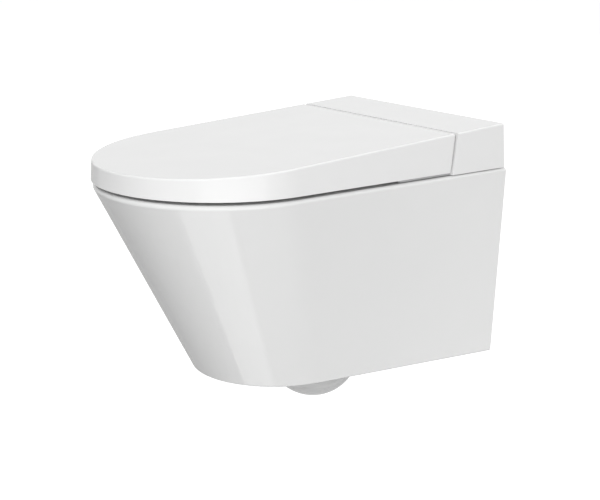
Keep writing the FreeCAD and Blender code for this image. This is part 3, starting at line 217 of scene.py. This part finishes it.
ripple, given, result = group_of("soft_ripple", {"Pitch": 400.0, "Cloud Pitch": 9.0}, ["Height", "Cloud"])
where = put(ripple, "ShaderNodeTexCoord").outputs["Object"]
fine = put(ripple, "ShaderNodeTexNoise", {"Vector": where, "Scale": given["Pitch"], "Detail": 1.0})
wide = put(ripple, "ShaderNodeTexNoise", {"Vector": where, "Scale": given["Cloud Pitch"], "Detail": 3.0})
ripple.links.new(fine.outputs["Fac"], result["Height"])
ripple.links.new(wide.outputs["Fac"], result["Cloud"])


def finish_named(name):
    """A new material, its node tree and its Principled shader, joined to the output."""
    made, tree = bare_material(name)
    shader = put(tree, "ShaderNodeBsdfPrincipled")
    put(tree, "ShaderNodeOutputMaterial", {"Surface": shader.outputs[0]})
    return made, tree, shader


def shade_between(tree, mask, dark, light):
    """A colour that runs from one tone to another with a mask. A tone is a colour or a socket."""
    mixed = put(tree, "ShaderNodeMix", {"Factor": mask}, data_type="RGBA")
    ends = [socket for socket in mixed.inputs if socket.type == "RGBA"]
    for socket, tone in zip(ends, (dark, light)):
        if isinstance(tone, bpy.types.NodeSocket):
            tree.links.new(tone, socket)
        else:
            socket.default_value = tone + (1.0,)
    return next(socket for socket in mixed.outputs if socket.type == "RGBA")


def between(tree, mask, low, high):
    """A number that runs from low to high over the middle half of a mask."""
    return put(tree, "ShaderNodeMapRange", {"Value": mask, "From Min": 0.25, "From Max": 0.75, "To Min": low,
                                            "To Max": high}).outputs[0]


def relief(tree, height, depth):
    """A bump of a given depth in metres."""
    bump = put(tree, "ShaderNodeBump", {"Height": height, "Distance": depth, "Strength": 1.0})
    return bump.outputs["Normal"]


def moulded(name, tones, gloss, pitch, cloud, depth, index):
    """A smooth cast or moulded skin: two near tones and two near glosses in wide clouds, and a fine ripple.
    pitch and cloud count per metre, depth is the ripple's in metres, and index is the refractive index."""
    made, tree, shader = finish_named(name)
    film = put(tree, "ShaderNodeGroup", node_tree=ripple)
    film.inputs["Pitch"].default_value = pitch
    film.inputs["Cloud Pitch"].default_value = cloud
    tree.links.new(shade_between(tree, film.outputs["Cloud"], *tones), shader.inputs["Base Color"])
    tree.links.new(between(tree, film.outputs["Cloud"], *gloss), shader.inputs["Roughness"])
    tree.links.new(relief(tree, film.outputs["Height"], depth), shader.inputs["Normal"])
    shader.inputs["IOR"].default_value = index
    return made


def dress(material, *names):
    """Gives CAD pieces a material in place of their own."""
    for name in names:
        slots = frame["nodes"][name].data.materials
        slots.clear()
        slots.append(material)


glaze = moulded("glazed_china", tones=((0.835, 0.838, 0.835), (0.865, 0.866, 0.862)), gloss=(0.05, 0.09),
                pitch=170.0, cloud=7.0, depth=0.00002, index=1.52)
dress(glaze, "ceramic_pan", "pan_bowl", "pan_trap", "pan_back")

# Base plate: the floor of the rear unit, white plastic with a satin skin, toned pale grey as painted shade under
# the lid.
# It lies on the china behind the seat, over a gasket, and carries the hinge and the inner units.
painted_shade_white = moulded("pale_grey_moulding", tones=((0.575, 0.580, 0.585), (0.605, 0.610, 0.615)),
                    gloss=(0.28, 0.38), pitch=1400.0, cloud=16.0, depth=0.00001, index=1.49)
dress(painted_shade_white, "base_plate")

# Wall sleeves and wand guide: grey moulded plastic with a fine spark-etched skin.
# The sleeves sit in the two wall holes, and the guide slants down through a slot in the base.
etched = moulded("etched_grey", tones=((0.262, 0.268, 0.276), (0.292, 0.298, 0.306)), gloss=(0.42, 0.56),
                 pitch=2600.0, cloud=18.0, depth=0.00003, index=1.49)
dress(etched, "wall_sleeves", "wand_guide")

# Base gasket and bushes: soft grey rubber, with a little dust on the faces that lie level.
# The gasket seals the base against the china, and the bushes grip the china from below.
settled, given, result = group_of("settled_dust", {"Amount": 0.5}, ["Mask"])
place = put(settled, "ShaderNodeTexCoord")
upward = put(settled, "ShaderNodeSeparateXYZ", {"Vector": place.outputs["Normal"]}).outputs["Z"]
specks = put(settled, "ShaderNodeTexNoise", {"Vector": place.outputs["Object"], "Scale": 160.0,
                                             "Detail": 4.0}).outputs["Fac"]
lying = put(settled, "ShaderNodeMapRange", {"Value": upward, "From Min": 0.55, "From Max": 0.98,
                                            "To Max": given["Amount"]})
thick = put(settled, "ShaderNodeMapRange", {"Value": specks, "From Min": 0.40, "From Max": 0.72})
cover = put(settled, "ShaderNodeMath", {0: lying.outputs[0], 1: thick.outputs[0]}, operation="MULTIPLY")
settled.links.new(cover.outputs[0], result["Mask"])


def shader_of(material):
    """The Principled shader of a finished material."""
    return next(node for node in material.node_tree.nodes if node.type == "BSDF_PRINCIPLED")


def dusted(material, amount, dust):
    """Lays pale dust on a material's upper faces: with a mask, the clean colour gives way to the dust's."""
    tree = material.node_tree
    colour = shader_of(material).inputs["Base Color"]
    clean = colour.links[0].from_socket
    powder = put(tree, "ShaderNodeGroup", node_tree=settled)
    powder.inputs["Amount"].default_value = amount
    tree.links.new(shade_between(tree, powder.outputs["Mask"], clean, dust), colour)
    return material


seal = moulded("soft_rubber", tones=((0.098, 0.098, 0.102), (0.128, 0.128, 0.132)), gloss=(0.68, 0.82),
               pitch=1500.0, cloud=40.0, depth=0.00004, index=1.50)
dress(dusted(seal, amount=0.35, dust=(0.30, 0.30, 0.29)), "base_gasket", "base_bushes")

# Base bolts, screws, brackets and pins: bright drawn steel, brushed along its length.
# Two bolts hold the base, four screws the housing and four the board. The brackets stand on the base,
# and each carries a pin for the seat's arm and the lid's knuckle.
lines, given, result = group_of("drawn_lines", {"Across X": 40.0, "Across Y": 40.0, "Across Z": 2400.0},
                                ["Streak"])
counts = put(lines, "ShaderNodeCombineXYZ", {axis: given["Across " + axis] for axis in "XYZ"})
where = put(lines, "ShaderNodeVectorMath", {0: put(lines, "ShaderNodeTexCoord").outputs["Object"],
                                            1: counts.outputs[0]}, operation="MULTIPLY")
strands = put(lines, "ShaderNodeTexNoise", {"Vector": where.outputs[0], "Scale": 1.0, "Detail": 3.0})
lines.links.new(strands.outputs["Fac"], result["Streak"])


def drawn(name, tones, gloss, across, depth):
    """Bare metal with fine lines, closest together along the axis whose count per metre is highest."""
    made, tree, shader = finish_named(name)
    grain = put(tree, "ShaderNodeGroup", node_tree=lines)
    for axis, count in zip("XYZ", across):
        grain.inputs["Across " + axis].default_value = count
    streak = grain.outputs["Streak"]
    tree.links.new(shade_between(tree, streak, *tones), shader.inputs["Base Color"])
    tree.links.new(between(tree, streak, *gloss), shader.inputs["Roughness"])
    tree.links.new(relief(tree, streak, depth), shader.inputs["Normal"])
    shader.inputs["Metallic"].default_value = 1.0
    return made


steel = drawn("drawn_steel", tones=((0.46, 0.47, 0.48), (0.58, 0.59, 0.60)), gloss=(0.24, 0.38),
              across=(30.0, 1800.0, 30.0), depth=0.00001)
dress(steel, "base_bolts", "housing_screws", "board_screws", "hinge_brackets", "hinge_pins")

# Wand drive: a small geared motor in a steel can, held by the guide's plate.
# Its shaft carries a black gear of self-oiling plastic, which moves the wand by its rack.
can = drawn("motor_can", tones=((0.50, 0.51, 0.52), (0.60, 0.61, 0.62)), gloss=(0.20, 0.32),
            across=(1600.0, 25.0, 25.0), depth=0.000008)
dress(dusted(can, amount=0.25, dust=(0.36, 0.35, 0.33)), "wand_motor")
dark = moulded("dark_moulding", tones=((0.0125, 0.0125, 0.0140), (0.0190, 0.0190, 0.0205)),
               gloss=(0.38, 0.52), pitch=2200.0, cloud=30.0, depth=0.00003, index=1.49)
dress(dusted(dark, amount=0.30, dust=(0.16, 0.155, 0.15)), "drive_pinion")

# Spray wand and its tip: white glossy plastic, a hollow rod with a rack on top.
# The tip with its three jets is the rod's front end, and the rod slides out of the guide under the seat.
white = moulded("white_moulding", tones=((0.850, 0.852, 0.850), (0.872, 0.872, 0.870)), gloss=(0.12, 0.17),
                pitch=900.0, cloud=14.0, depth=0.000004, index=1.49)
dress(white, "spray_wand", "nozzle_tip")


# Water inlet: a nipple turned from brass bar, with a half-inch pipe thread and a round collar.
# It carries the valve on its collar and hangs through the base and the china's deck.
def shell(points, rows_meet=False):
    """Corners and faces of a grid of points. Its columns always meet, and its rows only in a closed loop."""
    rows, columns = points.shape[:2]
    row = np.arange(rows if rows_meet else rows - 1)[:, None]
    column = np.arange(columns)[None, :]
    up, right = (row + 1) % rows, (column + 1) % columns
    corners = [row * columns + column, row * columns + right, up * columns + right, up * columns + column]
    return points.reshape(-1, 3), np.stack(corners, -1).reshape(-1, 4)


def piece_of(name, shells, material, body, node, crease=35.0):
    """One object from shells of points and faces, closed at seams and poles, that stands for a node."""
    starts = np.cumsum([0] + [len(points) for points, faces in shells])
    corners = np.concatenate([points for points, faces in shells])
    joined = np.concatenate([faces + start for (points, faces), start in zip(shells, starts)])
    mesh = bpy.data.meshes.new(name)
    mesh.from_pydata(corners.tolist(), [], joined.tolist())
    work = bmesh.new()
    work.from_mesh(mesh)
    bmesh.ops.remove_doubles(work, verts=work.verts, dist=1e-7)
    bmesh.ops.dissolve_degenerate(work, edges=work.edges, dist=1e-8)
    bmesh.ops.recalc_face_normals(work, faces=work.faces)
    work.to_mesh(mesh)
    work.free()
    mesh.polygons.foreach_set("use_smooth", np.ones(len(mesh.polygons), bool))
    mesh.set_sharp_from_angle(angle=math.radians(crease))
    mesh.materials.append(material)
    made = bpy.data.objects.new(name, mesh)
    link(made)
    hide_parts(node)
    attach(made, body)


def turned(profile, spokes, at, axis="Z", carve=None):
    """A profile of places along an axis and radii, carried round it. carve gives the radius to take off."""
    angle = np.linspace(0.0, 2.0 * np.pi, spokes, endpoint=False)[None, :]
    reach, radius = (np.array(column)[:, None] + 0.0 * angle for column in zip(*profile))
    if carve is not None:
        radius = radius - carve(reach, angle, radius)
    round_x, round_y = radius * np.cos(angle), radius * np.sin(angle)
    if axis == "Z":
        parts = (at[0] + round_x, at[1] + round_y, at[2] + reach)
    else:
        parts = (at[0] + reach, at[1] + round_x, at[2] + round_y)
    return np.stack(parts, -1)


HAIR = 1e-6


def thread(rings, outer, pitch, depth):
    """Carves a screw thread over rings: a triangle wave along the axis, moved on by a pitch each turn."""
    def carve(reach, angle, radius):
        wave = np.abs(2.0 * np.mod(reach / pitch - angle / (2.0 * np.pi), 1.0) - 1.0)
        inside = (reach >= rings[0]) & (reach <= rings[-1]) & (radius > outer - HAIR)
        return np.where(inside, depth * wave, 0.0)
    return carve


BEVEL = 0.0008


def collared(ledge, top, radius, bore):
    """A profile's end: out to a round collar with bevelled edges, up to its top and in to the bore."""
    return [(ledge, radius - BEVEL), (ledge + BEVEL, radius), (top - BEVEL, radius), (top, radius - BEVEL),
            (top, bore)]


def mount_at(name):
    """The place of one of the part's mounts."""
    return next(mount["pos_m"] for mount in frame["record"]["mounts"] if mount["name"] == name)


brass = drawn("turned_brass", tones=((0.62, 0.43, 0.17), (0.74, 0.54, 0.24)), gloss=(0.18, 0.30),
              across=(25.0, 25.0, 2600.0), depth=0.000008)
INLET_BORE, INLET_NECK, INLET_THREAD, INLET_COLLAR = 0.0050, 0.0090, 0.0104, 0.0150
INLET_LEAD, INLET_CHAMFER, INLET_ROOT = 0.0012, 0.0016, 0.0006
INLET_LENGTH, INLET_RUNOUT, INLET_COLLAR_THICK = 0.0300, 0.0010, 0.0050
SLIGHT = 0.0002
foot, head = (corner.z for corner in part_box("inlet_fitting"))
top = head - foot
ledge = top - INLET_COLLAR_THICK
rings = np.linspace(INLET_LEAD + SLIGHT, INLET_LENGTH - INLET_RUNOUT, 140)
run = [(0.0, INLET_BORE), (0.0, INLET_THREAD - INLET_CHAMFER), (INLET_LEAD, INLET_THREAD)]
run += [(ring, INLET_THREAD) for ring in rings]
run += [(INLET_LENGTH, INLET_THREAD - INLET_ROOT), (INLET_LENGTH + SLIGHT, INLET_NECK), (ledge, INLET_NECK)]
run += collared(ledge, top, INLET_COLLAR, INLET_BORE)
nipple = turned(run, spokes=72, at=(*mount_at("water_inlet")[:2], foot),
                carve=thread(rings, INLET_THREAD, pitch=0.0018, depth=0.0008))
piece_of("brass_nipple", [shell(nipple, True)], brass, body="pan", node="inlet_fitting")

# Valve, heater and pump: the water way inside the housing. Valve and pump have black moulded bodies.
# The flow heater is a drum of drawn steel that stands on the base, as the pump's head does.
dress(dark, "inlet_valve", "water_pump")
dress(can, "water_heater")

# Wand hose: clear silicone tube gone milky, so that light soaks a little way into it.
# It is pushed over the barb on the wand guide and the pump's port.
SOAK = 0.004
milky = moulded("milky_silicone", tones=((0.60, 0.60, 0.575), (0.68, 0.68, 0.66)), gloss=(0.30, 0.42),
                pitch=700.0, cloud=30.0, depth=0.00001, index=1.41)
shader_of(milky).inputs["Subsurface Weight"].default_value = 0.5
shader_of(milky).inputs["Subsurface Radius"].default_value = (SOAK, SOAK, SOAK)
dress(milky, "wand_hose")

# Cable gland: black moulded plastic with a bore for the mains cable and a coarse thread below its collar.
# It is pushed down through the base and the china's deck until the collar stops it.
GLAND_BORE, GLAND_THREAD, GLAND_COLLAR = 0.0040, 0.0090, 0.0130
GLAND_LEAD, GLAND_CHAMFER, GLAND_RUNOUT, GLAND_COLLAR_THICK = 0.0016, 0.0018, 0.0010, 0.0050
SOFT_PLACE, SOFT_RADIUS = 0.0006, 0.0005
foot, head = (corner.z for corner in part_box("cable_gland"))
top = head - foot
ledge = top - GLAND_COLLAR_THICK
rings = np.linspace(GLAND_LEAD + SLIGHT, ledge - GLAND_RUNOUT, 110)
run = [(0.0, GLAND_BORE), (0.0, GLAND_THREAD - GLAND_CHAMFER),
       (GLAND_LEAD - SOFT_PLACE, GLAND_THREAD - SOFT_RADIUS), (GLAND_LEAD, GLAND_THREAD)]
run += [(ring, GLAND_THREAD) for ring in rings]
run += [(ledge, GLAND_THREAD)] + collared(ledge, top, GLAND_COLLAR, GLAND_BORE)
sleeve = turned(run, spokes=64, at=(*mount_at("mains_inlet")[:2], foot),
                carve=thread(rings, GLAND_THREAD, pitch=0.0015, depth=0.0006))
piece_of("threaded_gland", [shell(sleeve, True)], dark, body="pan", node="cable_gland")

# Power unit, board and turn sensor: the electric side. The power unit and the sensor are black and closed.
# The board is green solder mask over thin copper tracks, and four screws hold it on posts of the base.
TRACK, TRACK_LONG, TRACK_PITCH = 0.00035, 0.0115, 0.0024
BLACK = (0.0, 0.0, 0.0, 1.0)
solder_mask, tree, shader = finish_named("solder_mask")
spot = put(tree, "ShaderNodeTexCoord").outputs["Object"]
tracks = put(tree, "ShaderNodeTexBrick", {"Vector": spot, "Color1": BLACK, "Color2": BLACK, "Mortar": WHITE,
                                          "Scale": 1.0, "Mortar Size": TRACK, "Brick Width": TRACK_LONG,
                                          "Row Height": TRACK_PITCH})
copper = tracks.outputs["Fac"]
board_tone = shade_between(tree, copper, (0.006, 0.062, 0.026), (0.022, 0.135, 0.058))
tree.links.new(board_tone, shader.inputs["Base Color"])
tree.links.new(between(tree, copper, low=0.34, high=0.24), shader.inputs["Roughness"])
tree.links.new(relief(tree, copper, depth=0.00003), shader.inputs["Normal"])
dress(solder_mask, "control_board")
dress(dark, "power_supply", "knob_encoder")

# Rear housing and wand cover: white glossy mouldings of the same plastic as the lid.
# Four screws hold the housing on the base, in line with the lid. The cover goes over the wand drive.
dress(white, "rear_housing", "wand_cover")


# Control knob: turned metal, chromed, with a knurled edge, a dished face and a well for the button.
# Its hollow shaft goes through the housing's far side into the turn sensor.
def knurl(rings, outer, ridges, depth):
    """Carves even grooves along the axis over rings: the depth follows a cosine round the edge."""
    def carve(reach, angle, radius):
        inside = (reach >= rings[0]) & (reach <= rings[-1]) & (radius > outer - HAIR)
        return np.where(inside, depth * (0.5 - 0.5 * np.cos(ridges * angle)), 0.0)
    return carve


def rounded_edge(place, radius, size, turns):
    """A quarter round of a profile, from a face at a place on the axis out to a radius."""
    return [(place + size - size * np.cos(turn), radius - size + size * np.sin(turn)) for turn in turns]


def joint_at(name):
    """The place of one of the part's hinges."""
    return next(joint["pos_m"] for joint in frame["joints"] if joint["name"] == name)


chrome = drawn("bright_chrome", tones=((0.59, 0.60, 0.61), (0.63, 0.64, 0.65)), gloss=(0.05, 0.09),
               across=(90.0, 90.0, 90.0), depth=0.000002)
GRIP, GRIP_ROUND, GRIP_GAP, KNOB_THICK, KNOB_SHAFT = 0.0170, 0.0016, 0.0003, 0.010, 0.0030
WELL, WELL_DEPTH, WELL_LIP, STEM_HOLE = 0.0083, 0.0058, 0.0006, 0.00155
DISH_START, DISH_END, DISH_DEPTH = 0.0094, 0.0150, 0.0004
BACK_EDGE = ((0.0013, 0.0004), (0.0, 0.0012))
KNOB_AXIS = (0.0, *joint_at("knob_turn")[1:])
face, shaft_end = (corner.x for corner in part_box("control_knob"))
back = face + KNOB_THICK
steps = np.linspace(0.0, 1.0, 9)
quarter = 0.5 * np.pi * steps
rings = np.linspace(face + GRIP_ROUND + GRIP_GAP, back - GRIP_ROUND, 22)
run = [(face + WELL_DEPTH, STEM_HOLE), (face + WELL_DEPTH, WELL), (face + WELL_LIP, WELL),
       (face, WELL + WELL_LIP)]
run += [(face + DISH_DEPTH * np.sin(np.pi * t), DISH_START + (DISH_END - DISH_START) * t) for t in steps]
run += rounded_edge(face, GRIP, GRIP_ROUND, quarter)
run += [(ring, GRIP) for ring in rings]
run += [(back - ahead, GRIP - inset) for ahead, inset in BACK_EDGE]
run += [(back, KNOB_SHAFT), (shaft_end, KNOB_SHAFT), (shaft_end, STEM_HOLE)]
grip = turned(run, spokes=288, at=KNOB_AXIS, axis="X",
              carve=knurl(rings[1:-1], GRIP, ridges=48, depth=0.0006))
piece_of("knurled_knob", [shell(grip, True)], chrome, body="knob", node="control_knob")

# Knob button: a white plastic cap with a dished face and a rounded edge.
# It sits in the knob's well, and its stem runs through the knob into the turn sensor.
CAP, CAP_ROUND, CAP_DISH, CAP_THICK, CAP_BEVEL = 0.0080, 0.0010, 0.0006, 0.0050, 0.0006
STEM, STEM_BEVEL = 0.0015, 0.0004
tip, stem_end = (corner.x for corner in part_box("knob_button"))
cap_back = tip + CAP_THICK
run = [(tip + CAP_DISH * (1.0 - t * t), (CAP - CAP_ROUND) * t) for t in steps]
run += rounded_edge(tip, CAP, CAP_ROUND, quarter[1:])
run += [(cap_back - CAP_BEVEL, CAP), (cap_back, CAP - CAP_BEVEL), (cap_back, STEM),
        (stem_end - STEM_BEVEL, STEM), (stem_end, STEM - STEM_BEVEL), (stem_end, 0.0)]
cap = turned(run, spokes=96, at=KNOB_AXIS, axis="X")
piece_of("dished_button", [shell(cap)], white, body="button", node="knob_button")

# Seat: one white moulding, crowned and falling towards its oval opening, nearly flat underneath.
# Two rounded arms carry it on the hinge pins.
seat_low, seat_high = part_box("seat_ring")
SEAT_HALF, SEAT_FOOT, SEAT_THICK = seat_high.x, seat_low.z, 0.018
SEAT_TOP = SEAT_FOOT + SEAT_THICK
NOSE_Y = seat_low.y + SEAT_HALF
SEAT_REAR, SEAT_CORNER = -0.170, 0.024
HOLE_HALF, HOLE_LENGTH, HOLE_Y = 0.112, 0.145, -0.385
SEAT_FALL, FALL_START = 0.0065, 0.36
CROWN, SQUARE_FOOT, WAIST = 2.0 / 4.2, 2.0 / 9.0, 0.40
HINGE_Y, HINGE_Z = joint_at("seat_hinge")[1:]
TINY, ENDLESS = 1e-9, 1e9


def reach_round(start_x, start_y, radius, side, ahead):
    """How far a level ray goes to the far side of a circle, from a start seen from the circle's middle."""
    along = start_x * side + start_y * ahead
    return -along + np.sqrt(np.maximum(along ** 2 - start_x ** 2 - start_y ** 2 + radius ** 2, 0.0))


def seat_edge(angle):
    """The outer edge's distance from the opening's middle: round nose, straight sides, round rear corners."""
    side, ahead = np.abs(np.sin(angle)), -np.cos(angle)
    nose = reach_round(0.0, HOLE_Y - NOSE_Y, SEAT_HALF, side, ahead)
    straight = SEAT_HALF / np.maximum(side, TINY)
    rear = np.where(ahead > TINY, (SEAT_REAR - HOLE_Y) / np.maximum(ahead, TINY), ENDLESS)
    middle_x, middle_y = SEAT_HALF - SEAT_CORNER, SEAT_REAR - SEAT_CORNER
    corner = reach_round(-middle_x, HOLE_Y - middle_y, SEAT_CORNER, side, ahead)
    square = np.minimum(straight, rear)
    in_corner = (square * side > middle_x) & (HOLE_Y + square * ahead > middle_y)
    return np.where(HOLE_Y + nose * ahead < NOSE_Y, nose, np.where(in_corner, corner, square))


def squared_round(turn, power):
    """Across and up on a rounded square: cosine and sine, their size raised to a power under 1."""
    across, rise = np.cos(turn), np.sin(turn)
    return np.sign(across) * np.abs(across) ** power, np.sign(rise) * np.abs(rise) ** power


def seat_surface(columns, rows):
    """A rounded section, nearly square below and softer above, carried round between opening and outer edge.
    Its top falls towards the opening on a smooth step."""
    angle = np.linspace(0.0, 2.0 * np.pi, columns, endpoint=False)[None, :]
    turn = np.linspace(0.0, 2.0 * np.pi, rows, endpoint=False)[:, None]
    upper = np.sin(turn) >= 0.0
    across, rise = squared_round(turn, np.where(upper, CROWN, SQUARE_FOOT))
    inwards = 0.5 - 0.5 * across
    middle = SEAT_FOOT + WAIST * (SEAT_TOP - SEAT_FOOT)
    height = middle + rise * np.where(upper, SEAT_TOP - middle, middle - SEAT_FOOT)
    step = np.clip((inwards - FALL_START) / (1.0 - FALL_START), 0.0, 1.0)
    fall = SEAT_FALL * step * step * (3.0 - 2.0 * step)
    height = height - fall * (height - SEAT_FOOT) / (SEAT_TOP - SEAT_FOOT)
    side, ahead = np.sin(angle), -np.cos(angle)
    hole = 1.0 / np.sqrt((side / HOLE_HALF) ** 2 + (ahead / HOLE_LENGTH) ** 2)
    outer = seat_edge(angle)
    reach = outer + inwards * (hole - outer)
    return np.stack([reach * side, HOLE_Y + reach * ahead, height + 0.0 * angle], -1)


ARM_LEFTS, ARM_WIDTH, ARM_LENGTH, ARM_GAP = (0.086, -0.108), 0.022, 0.0990, 0.0026
ARM_RISE, ARM_SINK, ARM_FOOT, ARM_DROP, ARM_SLOPE = 0.0335, 0.0008, 0.0075, 0.0048, 0.583
ARM_SQUARE, ARM_HOLLOW, ARM_STEPS = 0.40, 1.5, 29
EYE, EYE_BORE, EYE_BEVEL = 0.0042, 0.00225, 0.0004


def seat_arm(left, right):
    """A rounded bar from the hinge down into the seat. Its upper line falls in a hollow curve, and its lower
    line falls straight and then runs level. Both ends close to a point."""
    along = np.linspace(0.0, 1.0, ARM_STEPS)
    y = HINGE_Y - ARM_GAP - ARM_LENGTH * along
    high = SEAT_TOP - ARM_SINK + ARM_RISE * (1.0 - along) ** ARM_HOLLOW
    low = np.maximum(HINGE_Z - ARM_DROP - ARM_SLOPE * (HINGE_Y - y), SEAT_TOP - ARM_FOOT)
    turn = np.linspace(0.0, 2.0 * np.pi, 48, endpoint=False)[None, :]
    across, rise = squared_round(turn, ARM_SQUARE)
    spread = np.concatenate([[0.0], np.ones(ARM_STEPS), [0.0]])[:, None]
    y, high, low = (np.concatenate([v[:1], v, v[-1:]])[:, None] for v in (y, high, low))
    x = 0.5 * (left + right) + 0.5 * (right - left) * across * spread
    z = 0.5 * (high + low) + 0.5 * (high - low) * rise * spread
    return np.stack([x, y + 0.0 * turn, z], -1)


seat_shells = [shell(seat_surface(columns=320, rows=56), True)]
for left in ARM_LEFTS:
    right = left + ARM_WIDTH
    eye = [(left, EYE_BORE), (left, EYE - EYE_BEVEL), (left + EYE_BEVEL, EYE), (right - EYE_BEVEL, EYE),
           (right, EYE - EYE_BEVEL), (right, EYE_BORE)]
    seat_shells.append(shell(seat_arm(left, right)))
    seat_shells.append(shell(turned(eye, spokes=40, at=(0.0, HINGE_Y, HINGE_Z), axis="X"), True))
piece_of("crowned_seat", seat_shells, white, body="seat", node="seat_ring",
         crease=50.0)

# Pads: grey rubber buttons with domed feet, pressed into the underside of the seat and of the lid.
# The seat's four rest on the rim, and the lid's two end just above the seat.
PAD_DOME, PAD_ROUND, PAD_BEVEL = 0.0008, 0.0015, 0.0006


def pad(x, y, low, high, radius):
    """A round button along the vertical: a shallow dome, a quarter round to the side and a bevelled top."""
    turns = np.linspace(0.0, 0.5 * np.pi, 7)
    thick = high - low
    dome = [(PAD_DOME * (1.0 - np.cos(turn)), (radius - PAD_ROUND) * np.sin(turn)) for turn in turns]
    bend = rounded_edge(PAD_DOME, radius, PAD_ROUND, turns[1:])
    top = [(thick - PAD_BEVEL, radius), (thick, radius - PAD_BEVEL), (thick, 0.0)]
    return shell(turned(dome + bend + top, spokes=48, at=(x, y, low)))


def on_nose(reach, degrees):
    """Two places at one distance from the nose's middle, left and right of straight ahead by an angle."""
    turn = math.radians(degrees)
    return [(side * reach * math.sin(turn), NOSE_Y - reach * math.cos(turn)) for side in (1, -1)]


def set_of_pads(name, spots, radius, body, node):
    """Like pads at several spots, as high as the node that they stand for."""
    foot, head = (corner.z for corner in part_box(node))
    pads = [pad(x, y, foot, head, radius) for x, y in spots]
    piece_of(name, pads, seal, body=body, node=node)


SEAT_PAD_REACH, SEAT_PAD_REAR, LID_PAD_REACH = 0.158, -0.240, 0.149
rear_spots = [(SEAT_PAD_REACH, SEAT_PAD_REAR), (-SEAT_PAD_REACH, SEAT_PAD_REAR)]
set_of_pads("seat_pads", rear_spots + on_nose(SEAT_PAD_REACH, degrees=37), radius=0.009, body="seat",
            node="seat_buffers")
set_of_pads("lid_pads", on_nose(LID_PAD_REACH, degrees=47), radius=0.007, body="lid", node="lid_buffers")

# Lid: one white glossy moulding with drafted sides and a hollow underside.
# Two knuckles hang it on the same pins as the seat.
dress(white, "lid")
